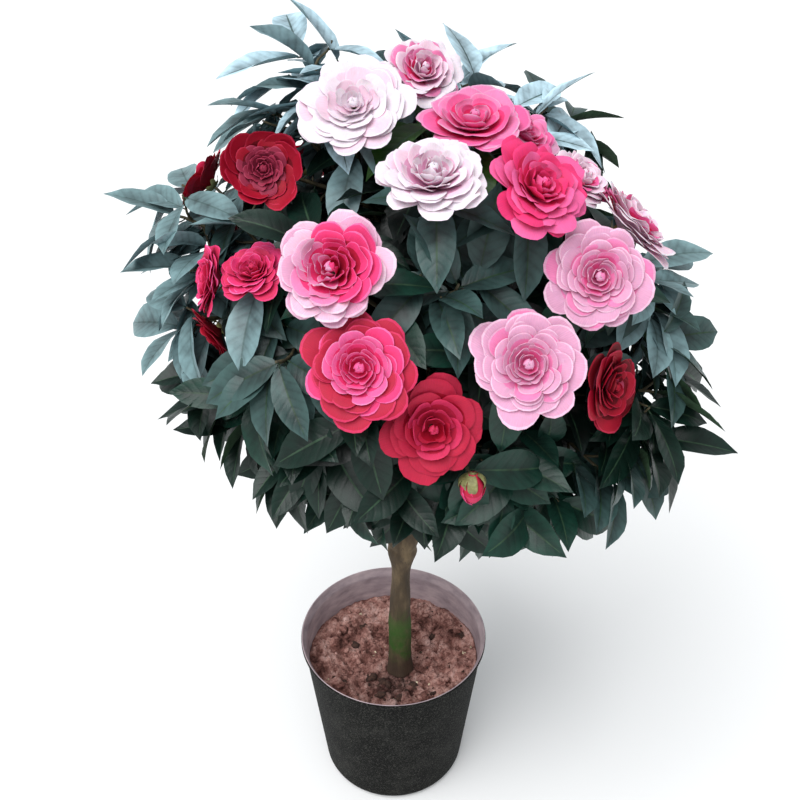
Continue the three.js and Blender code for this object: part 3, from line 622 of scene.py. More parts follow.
def side_twigs(shoot):
    """Finer twigs that fork off a shoot, each a curve and a seed."""
    curve, twigs = shoot.curve, []
    for k, at in enumerate(TWIG_PLACES):
        angle = math.radians(shoot.seed * 2 + k * GOLDEN_ANGLE)
        base, ahead = curve.point(at), curve.tangent(at)
        side = unit(np.cross(ahead, UP))
        over = np.cross(side, ahead)
        out = unit(side * math.cos(angle) + over * math.sin(angle) + ahead * 0.9)
        length = TWIG_LENGTH + TWIG_VARIATION * ((shoot.seed + k * 5) % 9) / 8
        tip = base + out * length + UP * TWIG_LIFT
        most, reach = shoot.reach - TWIG_DEPTH, np.linalg.norm(tip - CENTRE)
        if reach > most:
            tip = CENTRE + (tip - CENTRE) * most / reach
        leave, enter = unit(out + ahead * 0.6) * length * 0.4, (out + UP * 0.4) * length * 0.3
        twig = Curve(base, base + leave, tip - enter, tip)
        spots = twig.points_at(np.linspace(0, 1, 6)[1:])
        if is_clear(spots):
            twigs.append((twig, shoot.seed * 3 + k * 17 + 5))
    return twigs


# ---- blooms

PETAL_ROWS = np.array((0, 0.34, 0.62, 0.82, 0.94, 1.0))
PETAL_COLS = np.array((-1, -0.92, -0.7, -0.44, -0.15, 0.15, 0.44, 0.7, 0.92, 1))
PETAL_THICK = 0.25
ARCH = 0.12  # a petal's rise along its middle, as a share of its half width
RIM, RIM_SIDE, BRINK, FOLD = 0.94, 0.92, 0.82, 0.62  # shares of a petal where its colour takes a step; the steps towards the rim are lighter, partly the petal's own edge and partly painted light, and below the fold darker, painted crease shade
HEART = 0.42  # tiers further in than this share have the inner colours
FLUSH = 0.25  # one side of a variegated bloom is flushed from this tier inwards
HEART_PETALS, BUD_PETALS, BUD_SEPALS, BLOOM_SEPALS = 5, 7, 7, 6


def petal_template():
    """The sheet of a petal, a patch with a closed edge, with its blocks of faces."""
    edge = np.ones((len(PETAL_ROWS), len(PETAL_COLS)), bool)
    edge[1:-1, 1:-1] = False
    run, wide, side, over, under = two_sided(PETAL_ROWS, PETAL_COLS, edge, ())
    return run, wide, side, [quads_of(over), quads_of(under)[:, (0, 3, 2, 1)]]


PETAL_RUN, PETAL_WIDE, PETAL_SIDE, PETAL_FACES = petal_template()
FACE_RUNS, FACE_WIDES = np.meshgrid(*((c[:-1] + c[1:]) / 2 for c in (PETAL_ROWS, PETAL_COLS)), indexing="ij")


def petal_points(p):
    """One petal wrapped round the bloom's axis, in the bloom's own frame."""
    # a square patch drawn in to a rounded fan
    run, wide = PETAL_RUN * np.sqrt(1 - PETAL_WIDE**2 / 2), PETAL_WIDE * np.sqrt(1 - PETAL_RUN**2 / 2)
    t = run - p["notch"] * np.exp(-((wide / 0.2) ** 2)) * run**6
    foot, middle, tip = (np.array(point)[:, None] for point in p["line"])
    rho, high = (1 - t) ** 2 * foot + 2 * t * (1 - t) * middle + t * t * tip
    slope_r, slope_z = 2 * (1 - t) * (middle - foot) + 2 * t * (tip - middle)
    size = np.hypot(slope_r, slope_z) + 1e-9
    half = p["width"] / 2 * (0.2 + 0.8 * np.clip(run, 0, 1) ** 0.75)
    angle = p["azimuth"] + wide * np.clip(half / np.maximum(rho, 0.5), 0, p["wrap"])
    lean = p["tilt"] * wide * half * run
    wave = p["wave"] * np.sin(wide * 3.6 + p["phase"]) * run**3
    ruffle = p["ruffle"] * np.sin(wide * 9 + p["phase"] * 2) * run**6
    arch, curl = ARCH * half * (1 - wide**2) * run, p["curl"] * np.abs(wide) ** 2.5 * run**1.5
    lift = arch + lean + wave + ruffle + curl + PETAL_SIDE * PETAL_THICK
    rho = rho - lift * slope_z / size
    return np.stack([rho * np.cos(angle), rho * np.sin(angle), high + lift * slope_r / size], -1)


PALETTE = {  # sRGB of the petals' plain colours, a ladder from light to dark, then a dusty one with a lighter copy for its rim and a darker copy for its fold, painted crease shade
    "white": (236, 222, 231), "blush": (238, 204, 221), "pale": (234, 186, 210), "light": (220, 158, 190),
    "rose": (232, 128, 176), "pink": (236, 98, 156), "hot": (232, 58, 118), "coral": (208, 48, 92),
    "red": (184, 32, 64), "crimson": (158, 8, 38), "dark": (108, 4, 22),
    "dusky_rim": (176, 62, 92), "dusky": (150, 42, 70), "dusky_fold_shade": (112, 22, 46),
}
SHADES = list(PALETTE)
FORMS = {  # how ruffled, then by tier from the rim inwards: radii, heights of the tips, petals
    "rosette": (
        0.010, (1, 0.89, 0.79, 0.69, 0.59, 0.48, 0.37, 0.27, 0.17),
        (0, 0.05, 0.1, 0.145, 0.185, 0.215, 0.24, 0.255, 0.26), (7, 7, 8, 8, 8, 7, 7, 6, 5),
    ),
    "broad": (0.022, (1, 0.9, 0.77, 0.61, 0.43, 0.26), (0, 0.07, 0.14, 0.21, 0.27, 0.3), (6, 6, 6, 5, 5, 4)),
    "soft": (
        0.014, (1, 0.92, 0.83, 0.73, 0.61, 0.47, 0.33, 0.2),
        (0, 0.04, 0.08, 0.115, 0.145, 0.17, 0.185, 0.19), (8, 8, 8, 8, 7, 7, 6, 5),
    ),
    "ruffled": (
        0.034, (1, 0.92, 0.82, 0.7, 0.57, 0.44, 0.31, 0.18),
        (0, 0.08, 0.16, 0.235, 0.3, 0.35, 0.38, 0.39), (8, 8, 8, 7, 7, 6, 5, 4),
    ),
    "cup": (
        0.02, (1, 0.9, 0.66, 0.56, 0.46, 0.36, 0.26, 0.16),
        (0.26, 0.2, 0.02, 0.04, 0.06, 0.075, 0.09, 0.1), (6, 6, 9, 9, 8, 7, 6, 5),
    ),
}
CUPPED = 0.7  # the tiers of a cup that are wider than this stand up
STYLES = {  # form, outer, inner and odd petals, share of odd, steps lighter at the rim, steps darker in the fold as painted crease shade
    "blush": ("soft", "white", "white", "blush", 0.3, 1, 0),
    "white": ("ruffled", "white", "white", "blush", 0.3, 1, 2),
    "striped": ("ruffled", "white", "blush", "rose", 0.3, 1, 2),
    "flushed": ("ruffled", "blush", "blush", "pink", 0.25, 1, 1),
    "rose": ("rosette", "light", "light", "rose", 0.2, 1, 1),
    "variegated": ("ruffled", "pale", "rose", "light", 0.3, 1, 2),
    "pink": ("ruffled", "light", "rose", "pink", 0.3, 1, 1),
    "hot": ("broad", "rose", "rose", "pink", 0.3, 1, 1),
    "hot_red": ("ruffled", "pink", "pink", "hot", 0.45, 0, 1),
    "coral": ("rosette", "red", "pink", "hot", 0.2, 1, 1),
    "red": ("broad", "red", "coral", "red", 0.3, 0, 1),
    "ruby": ("ruffled", "coral", "coral", "hot", 0.4, 1, 1),
    "crimson": ("broad", "crimson", "crimson", "dark", 0.3, 1, 1),
    "cup": ("cup", "crimson", "dusky", "dusky", 0.0, 1, 1),
    "bud": ("bud", "coral", "coral", "hot", 0.2, 1, 1),
}
RED_STYLES = ("hot", "hot_red", "coral", "red", "ruby", "crimson", "cup", "bud")


def petal_shades(petal, style, draw):
    """A palette index for each face of a petal: lighter at the rim, partly its own edge and partly painted
    light, and darker down in the fold, painted shade of the crease.
    """
    _, outer, inner, odd, often, lighter, fold_shade = STYLES[style]
    body = SHADES.index(inner if petal["tier"] > HEART else outer)
    if draw() < often:
        body = SHADES.index(odd)
    if style == "variegated" and petal["tier"] > FLUSH and math.cos(petal["azimuth"] - 0.5) > 0:
        body = SHADES.index("hot")
    rim = (FACE_RUNS > RIM) | ((np.abs(FACE_WIDES) > RIM_SIDE) & (FACE_RUNS > FOLD))
    inside = np.where(FACE_RUNS > BRINK, -(lighter // 2), np.where(FACE_RUNS < FOLD, fold_shade, 0))
    return np.clip(body + np.where(rim, -lighter, inside), 0, len(SHADES) - 1).ravel()


def make_petal(line, width, azimuth, phase, **more):
    """A petal's middle line from foot to tip, as radius and height, and its shape. More changes the rest."""
    plain = {"wrap": 1.2, "tilt": 0.06, "notch": 0, "wave": 0.2, "ruffle": 0, "curl": 0, "tier": 1}
    return plain | {"line": line, "width": width, "azimuth": azimuth, "phase": phase} | more


def bloom_petals(shoot):
    """The petals of one bloom, tier by tier from its rim to its heart."""
    form, radius = STYLES[shoot.bloom["style"]][0], shoot.bloom["size"] / 2
    ruffled, radii, heights, counts = FORMS[form]
    draw = make_random(shoot.seed + 11)
    lobes = [(n, draw(0, 6.3), draw(0.02, 0.05)) for n in (2, 3, 5)]
    petals = []
    for k, (out, high, count) in enumerate(zip(radii, heights, counts)):
        tier, flat, cupped = k / (len(radii) - 1), out > 0.3, form == "cup" and out > CUPPED
        for i in range(count):
            azimuth = math.radians(k * GOLDEN_ANGLE + i * 360 / count + draw(-13, 13))
            uneven = 1 + sum(size * math.sin(n * azimuth + phase) for n, phase, size in lobes)
            reach = radius * out * draw(0.9, 1.06) * uneven
            top, foot = radius * (high + draw(-0.03, 0.05)), radius * (-0.22 + 0.2 * tier)
            rise = 0.25 if cupped else 1.5 - 0.95 * tier
            middle = (reach * (0.66 + 0.4 * tier), foot + (top - foot) * rise)
            petals.append(make_petal(
                ((radius * 0.05, foot), middle, (reach, top)),
                2 * math.sin(math.pi / count) * reach * (1.4 if k == 0 else 1.7 if flat else 1.9),
                azimuth, tilt=0.06 + 0.12 * draw(), notch=draw(0.0, 0.07) if flat else 0,
                wave=radius * ruffled * draw(0.6, 2.6), ruffle=radius * ruffled * draw(0.2, 1.0),
                curl=radius * (0.08 if cupped else draw(-0.07, 0.06)), phase=draw(0, 6.3), tier=tier,
            ))
    heart = radius * (heights[-1] + 0.02)
    for i in range(HEART_PETALS):
        wide = radius * (0.12 - 0.008 * i)
        line = ((radius * 0.04, heart - radius * 0.18), (wide * 1.5, heart - radius * 0.04), (-0.6, heart))
        petals.append(make_petal(line, wide * 2.6, i * 2.4, i))
    return petals


def bud_petals(shoot):
    """A closed bud: wrapped petals that meet at the tip."""
    radius, half = shoot.bloom["size"] / 2, shoot.bloom["length"] / 2
    petals = []
    for i in range(BUD_PETALS):
        middle, tip = (radius * (1.75 - 0.05 * i), -half * 0.1), (radius * 0.06, half * (1 - 0.03 * i))
        line, azimuth = ((radius * 0.3, -half), middle, tip), math.radians(i * GOLDEN_ANGLE)
        petals.append(make_petal(line, radius * 2.6, azimuth, i, wrap=1.3, wave=0.3, tier=0.2))
    return petals


def sepal_petals(shoot):
    radius, half = shoot.bloom["size"] / 2, shoot.bloom["length"] / 2
    if shoot.bloom["style"] == "bud":
        foot, middle, width = -half - 1, (radius * 1.45, -half * 0.7), radius * 1.3
        tips = [(radius * (0.9 - 0.05 * i), half * (-0.1 + 0.06 * (i % 3))) for i in range(BUD_SEPALS)]
    else:
        foot, middle, width = -radius * 0.31, (radius * 0.2, -radius * 0.33), radius * 0.34
        tips = [(radius * 0.34, -radius * (0.2 - 0.02 * (i % 2))) for i in range(BLOOM_SEPALS)]
    return [
        make_petal(((1.0, foot), middle, tip), width, math.radians(i * GOLDEN_ANGLE), i)
        for i, tip in enumerate(tips)
    ]


def bloom_frame(shoot):
    """Rows are the bloom's own x, y and facing in the model's frame."""
    facing = shoot.facing
    x = unit(np.cross(UP if abs(facing[2]) < 0.95 else np.array((0, 1.0, 0)), facing))
    return np.stack([x, np.cross(facing, x), facing])


# ---- materials

def linear(rgb):
    c = np.array(rgb, float) / 255
    return tuple(np.where(c <= 0.04045, c / 12.92, ((c + 0.055) / 1.055) ** 2.4)) + (1.0,)


def shade(rgb, factor):
    return np.clip(np.array(rgb) * factor, 0, 255)


class Nodes:
    """A material's node tree, with short ways to make and join its nodes. Colours are sRGB."""

    def __init__(self, name, roughness=0.5, **sockets):
        self.material = bpy.data.materials.new(name)
        self.material.use_nodes = True
        self.tree = self.material.node_tree
        self.inputs = self.tree.nodes["Principled BSDF"].inputs
        self.inputs["Roughness"].default_value = roughness
        for socket, value in sockets.items():
            self.inputs[socket.replace("_", " ")].default_value = value

    def add(self, kind, values, **settings):
        """A new node. The values or links of its inputs are given by name, or in their order."""
        made = self.tree.nodes.new("ShaderNode" + kind)
        for key, value in settings.items():
            setattr(made, key, value)
        if isinstance(values, dict):
            pairs = [(made.inputs[key], value) for key, value in values.items()]
        else:
            pairs = zip([socket for socket in made.inputs if socket.enabled], values)
        for socket, value in pairs:
            if isinstance(value, bpy.types.NodeSocket):
                self.tree.links.new(value, socket)
            else:
                socket.default_value = value
        return made

    def place(self, scale=(1, 1, 1), uv=False):
        """Coordinates in metres, or a blade's own across and along."""
        source = self.add("UVMap", {}, uv_map="blade") if uv else self.add("TexCoord", {})
        vector = source.outputs["UV" if uv else "Object"]
        return self.add("Mapping", {"Vector": vector, "Scale": scale}).outputs[0]

    def split(self, vector):
        return self.add("SeparateXYZ", {"Vector": vector}).outputs

    def noise(self, scale, detail, rough=0.55, place=None):
        values = {"Vector": place or self.place(), "Scale": scale, "Detail": detail, "Roughness": rough}
        return self.add("TexNoise", values).outputs["Fac"]

    def ramp(self, value, *stops):
        made = self.add("ValToRGB", {"Fac": value})
        bands = made.color_ramp.elements
        while len(bands) < len(stops):
            bands.new(0.5)
        for band, (place, rgb) in zip(bands, stops):
            band.position = place
            band.color = linear(rgb)
        return made.outputs["Color"]

    def math(self, operation, *values):
        return self.add("Math", values, operation=operation).outputs[0]

    def plus(self, one, other):
        return self.math("ADD", one, other)

    def times(self, one, other):
        return self.math("MULTIPLY", one, other)

    def coat(self, base, factor, rgb):
        """The base colour with another over it."""
        made = self.add("Mix", (factor, base, linear(rgb)), data_type="RGBA")
        return next(socket for socket in made.outputs if socket.enabled)

    def flecks(self, base, grain, level, share, rgb):
        return self.coat(base, self.times(self.math("GREATER_THAN", grain, level), share), rgb)

    def colour(self, source):
        self.tree.links.new(source, self.inputs["Base Color"])

    def bump(self, height, strength, distance):
        made = self.add("Bump", {"Strength": strength, "Distance": distance, "Height": height})
        self.tree.links.new(made.outputs["Normal"], self.inputs["Normal"])


LEAF_VEINS, VEIN_SLANT = 26, 0.16


def leaf_material(name, rgb, roughness=0.36):
    n = Nodes(name, roughness, Specular_IOR_Level=0.34)
    spots = n.noise(45, 3)
    x, run, _ = n.split(n.place(uv=True))
    across = n.math("ABSOLUTE", x)
    slant = n.math("SUBTRACT", run, n.times(across, VEIN_SLANT))
    ribs = n.math("POWER", n.math("ABSOLUTE", n.math("SINE", n.times(slant, LEAF_VEINS))), 6)
    # lighter towards the blade's edges, painted reflection of the sky off its fold; lighter towards the tip;
    # darker along the veins
    painted_sheen_and_veins = n.plus(n.plus(n.times(across, 0.3), n.times(run, 0.2)), n.times(ribs, -0.08))
    n.colour(n.ramp(n.plus(spots, painted_sheen_and_veins), (0.42, shade(rgb, 0.66)), (0.98, shade(rgb, 1.26))))
    n.bump(n.plus(n.times(ribs, -0.8), n.noise(900, 2)), 0.2, 0.0008)
    return n.material


def petal_material(name, rgb):
    n = Nodes(name, 0.6, Subsurface_Weight=0.08, Subsurface_Scale=0.004, Specular_IOR_Level=0.22)
    veins = n.noise(3, 3, place=n.place((9, 1.2, 1), uv=True))
    tone = n.times(n.plus(veins, n.noise(60, 2)), 0.5)
    n.colour(n.ramp(tone, (0.35, shade(rgb, 0.93)), (0.65, shade(rgb, 1.04))))
    n.bump(n.noise(4, 2, place=n.place((14, 1.5, 1), uv=True)), 0.14, 0.0005)
    return n.material


MOSS_BAND, SOIL_STAIN = (0.236, 0.305, 0.02), (-1.0, 0.215, 0.012)  # from, to and softness, in metres


def bark_material():
    n = Nodes("bark", 0.85)
    long = n.place((1, 1, 0.28))
    broad, fine, patch = n.noise(45, 5, place=long), n.noise(420, 3, place=long), n.noise(70, 4)
    base = n.ramp(broad, (0.28, (40, 31, 21)), (0.5, (73, 59, 42)), (0.74, (117, 99, 73)))
    base = n.flecks(base, fine, 0.62, 0.5, (60, 52, 42))
    height = n.plus(n.split(n.place())["Z"], n.times(n.math("SUBTRACT", patch, 0.5), 0.06))

    def above(level, soft):
        values = {"Value": height, "From Min": level - soft, "From Max": level + soft}
        return n.add("MapRange", values, interpolation_type="SMOOTHSTEP").outputs["Result"]

    def band(low, high, soft):
        return n.times(above(low, soft), n.math("SUBTRACT", 1.0, above(high, soft)))

    base = n.coat(base, n.times(band(*MOSS_BAND), n.times(patch, 1.7)), (50, 84, 24))
    n.colour(n.coat(base, n.times(band(*SOIL_STAIN), 0.6), (70, 52, 42)))
    n.bump(n.plus(n.times(broad, 0.6), fine), 0.7, 0.0012)
    return n.material


def speckled(name, roughness, scale, dark, light):
    """A plain material of two tones."""
    n = Nodes(name, roughness)
    n.colour(n.ramp(n.noise(scale, 3), (0.3, dark), (0.7, light)))
    return n


def twig_material():
    n = speckled("twig", 0.7, 120, (54, 48, 34), (92, 84, 58))
    n.bump(n.noise(700, 2), 0.4, 0.0005)
    return n.material


DARK_PATCH_FRONT, DARK_PATCH_FALL = 0.045, -750  # the soil is darkest this far in front of the pot's middle, in metres


def soil_material():
    n = Nodes("soil", 0.95, Specular_IOR_Level=0.2)
    clods, crumbs = n.noise(42, 7, 0.68), n.noise(330, 4, 0.7)
    # the soil's own mottling, its lighter tones also painted highlight on the raised clods that the bump
    # lifts and its darker ones painted shade in the hollows
    base = n.ramp(
        clods, (0.34, (70, 42, 38)), (0.45, (138, 94, 86)), (0.55, (190, 144, 134)), (0.7, (226, 190, 182))
    )
    base = n.flecks(base, crumbs, 0.58, 0.55, (84, 54, 48))
    # darker towards a spot in front of the trunk's foot, broken up by the crumbs
    x, y, _ = n.split(n.place())
    away = n.plus(y, DARK_PATCH_FRONT)
    spread = n.plus(n.times(x, x), n.times(away, away))
    dark_patch = n.times(n.math("EXPONENT", n.times(spread, DARK_PATCH_FALL)), n.times(crumbs, 1.7))
    n.colour(n.coat(base, dark_patch, (50, 32, 30)))
    n.bump(n.plus(clods, n.times(crumbs, 0.6)), 1.0, 0.004)
    return n.material


def pot_materials():
    out = Nodes("pot_outside", 0.7, Specular_IOR_Level=0.1)
    dust, specks = out.noise(22, 7, 0.75), out.noise(420, 3, 0.7, out.place((1, 1, 1.6)))
    base = out.ramp(dust, (0.34, (2, 2, 2)), (0.52, (9, 10, 9)), (0.7, (36, 36, 34)))
    out.colour(out.flecks(base, specks, 0.58, 0.5, (88, 88, 82)))
    out.bump(out.plus(specks, dust), 0.5, 0.0012)
    inner = Nodes("pot_inside", 0.7)
    film = inner.noise(30, 5, 0.6, inner.place((1, 1, 3)))
    inner.colour(inner.ramp(film, (0.3, (142, 126, 132)), (0.5, (172, 154, 159)), (0.75, (200, 180, 183))))
    inner.bump(inner.noise(60, 3, place=inner.place((1, 1, 12))), 0.4, 0.001)
    return [out.material, inner.material]


# ---- bark, soil and pot

BARK_VOXEL = 1.9
COLLAR, HIGH_COLLAR, COLLAR_FALL = 0.55, 0.25, 0.12  # how a bough swells at its root, low or high
SOIL_RINGS, SOIL_SIDES, SOIL_GAP = 58, 190, 0.4
SOIL_BASE = ((150, 0), (60, 0), (16, 0), (4, 13))  # height and inset of the soil's lower rings
CRUMBS, CLODS, CLOD_FREE_RADIUS = 1000, 150, 24
POT_SIDES, POT_WALL_ROWS, POT_INNER_ROWS, POT_EDGE_ROWS = 144, 60, 29, 6


def wall_radius(height):
    return POT_BASE + (POT_SHOULDER - POT_BASE) * height / (POT_HEIGHT - LIP_HEIGHT)


def fractal(points, size, octaves=4):
    """Fractal noise at points, from about -1 to 1; size is its largest wave in mm."""
    return np.array([noise.fractal(Vector(p) / size, 1.0, 2.0, octaves) for p in points])


def voxel_joined(pile, voxel):
    """The outer skin of a pile's overlapping closed shapes, as a mesh in mm."""
    mesh = bpy.data.meshes.new("skin")
    faces = [tuple(f) for block in pile.faces for f in block.tolist()]
    mesh.from_pydata(np.concatenate(pile.verts).tolist(), [], faces)
    shape = add_object("skin", mesh)
    remesh = shape.modifiers.new("skin", "REMESH")
    remesh.mode, remesh.voxel_size = "VOXEL", voxel
    made = bpy.data.meshes.new_from_object(shape.evaluated_get(bpy.context.evaluated_depsgraph_get()))
    bpy.data.objects.remove(shape)
    bpy.data.meshes.remove(mesh)
    return made


def bark_piece():
    limbs = Pile()
    for name, (curve, radius_at) in LIMBS.items():
        collar = COLLAR if curve.point(0)[2] < TRUNK_FORK[2] else HIGH_COLLAR
        if name == "trunk":
            def rounded(u):
                return radius_at(u) * math.sqrt(max(0.05, 1 - float(smoothstep(u, 0.9, 1)) ** 2))
            limbs.tube(curve, rounded, 24, 40)
        else:
            limbs.tube(curve, lambda u: radius_at(u) * (1 + collar * math.exp(-u / COLLAR_FALL)), 14, 18)
    mesh = voxel_joined(limbs, BARK_VOXEL)
    co, normals = read(mesh.vertices, "co", 3).astype(float), read(mesh.vertices, "normal", 3)
    # fine ridges drawn out along the stem, broad swellings, and the root flare
    relief = fractal(co * (1, 1, 0.3), 9, 3) * 0.5 + fractal(co, 34, 2) * 0.9
    angle = np.arctan2(co[:, 1] - TRUNK_FOOT[1], co[:, 0] - TRUNK_FOOT[0])
    low = np.exp(-np.maximum(0, co[:, 2] - TRUNK_FOOT[2]) / 16)
    flare = (np.cos(angle * 5 + 0.8) * 1.6 + 0.8) * low
    keep = smoothstep(co[:, 2], TRUNK_FOOT[2] - 1, TRUNK_FOOT[2] + 4)
    co = co + normals * ((relief + flare) * keep)[:, None]
    write(mesh.vertices, "co", co * MM)
    write(mesh.polygons, "use_smooth", np.ones(len(mesh.polygons)), bool)
    mesh.materials.clear()
    mesh.materials.append(bark_material())
    mesh.update()
    piece = ride_piece(mesh, "bark")
    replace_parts(piece, "trunk", *[f"bough_{name}" for name in LIMBS if name != "trunk"])


SOIL_RIM = wall_radius(SOIL_WALL_LEVEL) - POT_WALL - SOIL_GAP


def soil_surface(x, y):
    """Height of the lumpy soil at places x, y. It stands higher at the wall, but less so at the back."""
    radius = np.hypot(x, y)
    rise = smoothstep(radius, SOIL_FOOT_RADIUS, wall_radius(SOIL_WALL_LEVEL) * 0.9)
    ripple = np.sin(x / 11) * np.cos(y / 13) * SOIL_RIPPLE * rise
    level = SOIL_FOOT_LEVEL + (SOIL_WALL_LEVEL - SOIL_FOOT_LEVEL) * rise + ripple
    flat = np.stack([x, y, np.zeros(len(x))], -1)
    inward = 1 - smoothstep(radius / SOIL_RIM, 0.9, 1.0)
    # broad lumps with hollows between them, and a finer grain
    lumps = np.abs(fractal(flat, 36, 4)) * 19 - 5 - np.abs(fractal(flat + 90, 16, 3)) * 10
    lumps = lumps + fractal(flat + 300, 7, 3) * 2.5
    sunk = -7 * smoothstep(y, 30, 110) * (1 - inward)
    return level + lumps * (0.3 + 0.7 * inward) + sunk


def soil_piece():
    pile, sides, angles = Pile(), SOIL_SIDES, circle(SOIL_SIDES)
    top = lathe(SOIL_RIM * np.linspace(0.012, 1, SOIL_RINGS)[:, None], 0.0, angles)
    top[:, 2] = soil_surface(top[:, 0], top[:, 1])
    base = [(wall_radius(high) - POT_WALL - SOIL_GAP - inset, high) for high, inset in SOIL_BASE]
    base = lathe(*np.array(base).T[..., None], angles)
    verts = np.concatenate([top, base, [[0, 0, top[:sides, 2].mean()], [0, 0, SOIL_BASE[-1][0]]]])
    rings, hub = SOIL_RINGS + len(SOIL_BASE), len(top) + len(base)
    caps = np.concatenate([fan(hub, 0, sides, True), fan(hub + 1, (rings - 1) * sides, sides, False)])
    pile.add(verts, [ring_quads(rings, sides)[:, ::-1], caps], [0, 0])
    add_clods(pile)
    dark = speckled("soil_dark", 0.95, 300, (40, 26, 22), (82, 56, 46))
    cream = speckled("soil_cream", 0.9, 300, (188, 170, 140), (226, 212, 186))
    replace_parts(pile.piece("soil_clods", [soil_material(), dark.material, cream.material], "soil"), "soil")


def add_clods(pile):
    """Loose clods, crumbs and bits of bark on the soil, darker in front of the stem."""
    draw, (ball, faces) = make_random(77), ball_mesh()
    for number in range(CRUMBS):
        big = number < CLODS
        size = draw(3.5, 7.5) if big else draw(0.9, 2.8)
        radius, angle = (SOIL_RIM - 2 - size * 1.4) * math.sqrt(draw()), draw(0, 2 * math.pi)
        if big and radius < CLOD_FREE_RADIUS:
            continue
        spot = np.array((radius * math.cos(angle), radius * math.sin(angle)))
        near = math.exp(-(np.hypot(*(spot - (10, -45))) / 38) ** 2)
        lump = ball * (size * draw(0.8, 1.4), size * draw(0.6, 1.1), size * 0.7)
        lump = lump * (1 + 0.6 * fractal(lump + number * 31, size * 0.9, 2)[:, None])
        turn = draw(0, math.pi)
        cos, sin = math.cos(turn), math.sin(turn)
        lump = lump @ np.array(((cos, sin, 0), (-sin, cos, 0), (0, 0, 1)))
        kind = 1 if draw() < 0.05 + 0.6 * near else (2 if not big and draw() < 0.03 else 0)
        height = soil_surface(*spot[:, None])[0] + draw(-0.3, 0.35) * size
        pile.add(lump + (*spot, height), [faces], [kind])


def ball_mesh():
    """A unit ball of few faces."""
    bm = bmesh.new()
    bmesh.ops.create_icosphere(bm, subdivisions=2, radius=1)
    verts = np.array([v.co for v in bm.verts])
    faces = np.array([[v.index for v in f.verts] for f in bm.faces])
    bm.free()
    return verts, faces


def pot_piece():
    shoulder = POT_HEIGHT - LIP_HEIGHT
    flat, edge = wall_radius(POT_EDGE) - POT_EDGE, wall_radius(shoulder)
    lip = edge + LIP_FLARE

    def rows(count, first, last):
        return [first + (last - first) * i / count for i in range(1, count + 1)]

    outside = [(0.5, 1.6), (70, 1.6), (78, 0.0), (flat, 0.0)]
    for turn in rows(POT_EDGE_ROWS, 0, math.pi / 2):
        outside.append((flat + POT_EDGE * math.sin(turn), POT_EDGE * (1 - math.cos(turn))))
    outside += [(wall_radius(height), height) for height in rows(POT_WALL_ROWS, POT_EDGE, shoulder)]
    outside += [(edge + 2.2, shoulder + 0.8), (lip, shoulder + 3), (lip, POT_HEIGHT - 2.2)]
    outside += [(lip - 0.7, POT_HEIGHT - 0.5), (lip - 1.6, POT_HEIGHT)]
    inside = [(lip - POT_WALL, POT_HEIGHT - 0.8), (edge + 1, shoulder + 1.5)]
    inside.append((edge - POT_WALL, shoulder - 1))
    for height in rows(POT_INNER_ROWS, shoulder, POT_EDGE):
        inside.append((wall_radius(height) - POT_WALL + 0.3 * math.sin(height * 0.9), height))
    inside += [(flat, 3.0), (0.5, 3.0)]
    profile, angles = np.array(outside + inside), circle(POT_SIDES)
    radii, heights = profile[:, :1], profile[:, 1:]
    # a thin wall is never quite round
    bulge = 1 + 0.0035 * np.cos(2 * angles + 0.6) * smoothstep(heights, 40, 254) + 0.002 * np.cos(3 * angles)
    quads = ring_quads(len(profile), POT_SIDES, closed=True)
    kinds = (np.arange(len(quads)) // POT_SIDES >= len(outside) - 2).astype(int)
    pile = Pile()
    pile.add(lathe(radii * bulge, heights, angles), [quads], [kinds])
    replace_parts(pile.piece("pot_shell", pot_materials(), "pot_plastic"), "pot")


# ---- the crown's pieces

# Leaf base colours. Mid, dark and young are the leaves' own greens; the sheen and the two lightest tints are
# painted reflection of the sky on glossy leaves, and the darkest tint is painted shade for the leaves inside
# the crown.
LEAF_TINTS = {
    "dark": (12, 33, 26), "mid": (19, 48, 39), "inner_shade": (6, 17, 14), "sheen": (50, 71, 69),
    "sky_sheen": (98, 122, 125), "pale": (162, 187, 197), "young": (34, 66, 16),
}
LEAF_BACKS = (  # under and rib of the dark leaves, then lighter ones for the light leaves, painted to carry their painted sky sheen onto undersides and midribs
    ("leaf_under", (46, 68, 48), 0.6), ("leaf_rib", (46, 72, 52), 0.5),
    ("leaf_under_sheen", (122, 146, 150), 0.6), ("leaf_rib_sheen", (84, 108, 108), 0.5),
)
# the tints painted as the sky's reflection, whose leaves take the lighter backs
PALE_SHEEN_TINTS = ("pale", "sky_sheen")
TINTS = list(LEAF_TINTS)
GROWTH = {  # in this order: leaves of a shoot, and how far they lie along it and sag
    "spray": (8, 0.95, 0.32), "bloom": (6, 0.24, 0.25), "leafy": (8, 0.6, 0.45), "inner": (7, 0.55, 0.6),
}
TWIG_GROWTH, TWIG_LEAF_SCALE = (5, 0.55, 0.45), 0.92
STEM_RADII, SHOOT_RADII, TWIG_RADII, STALK_RADII = (BOUGH_TIP, 1.2), (3.0, 1.5), (1.7, 0.6), (0.9, -0.15)
LEAF_PIECES = 2


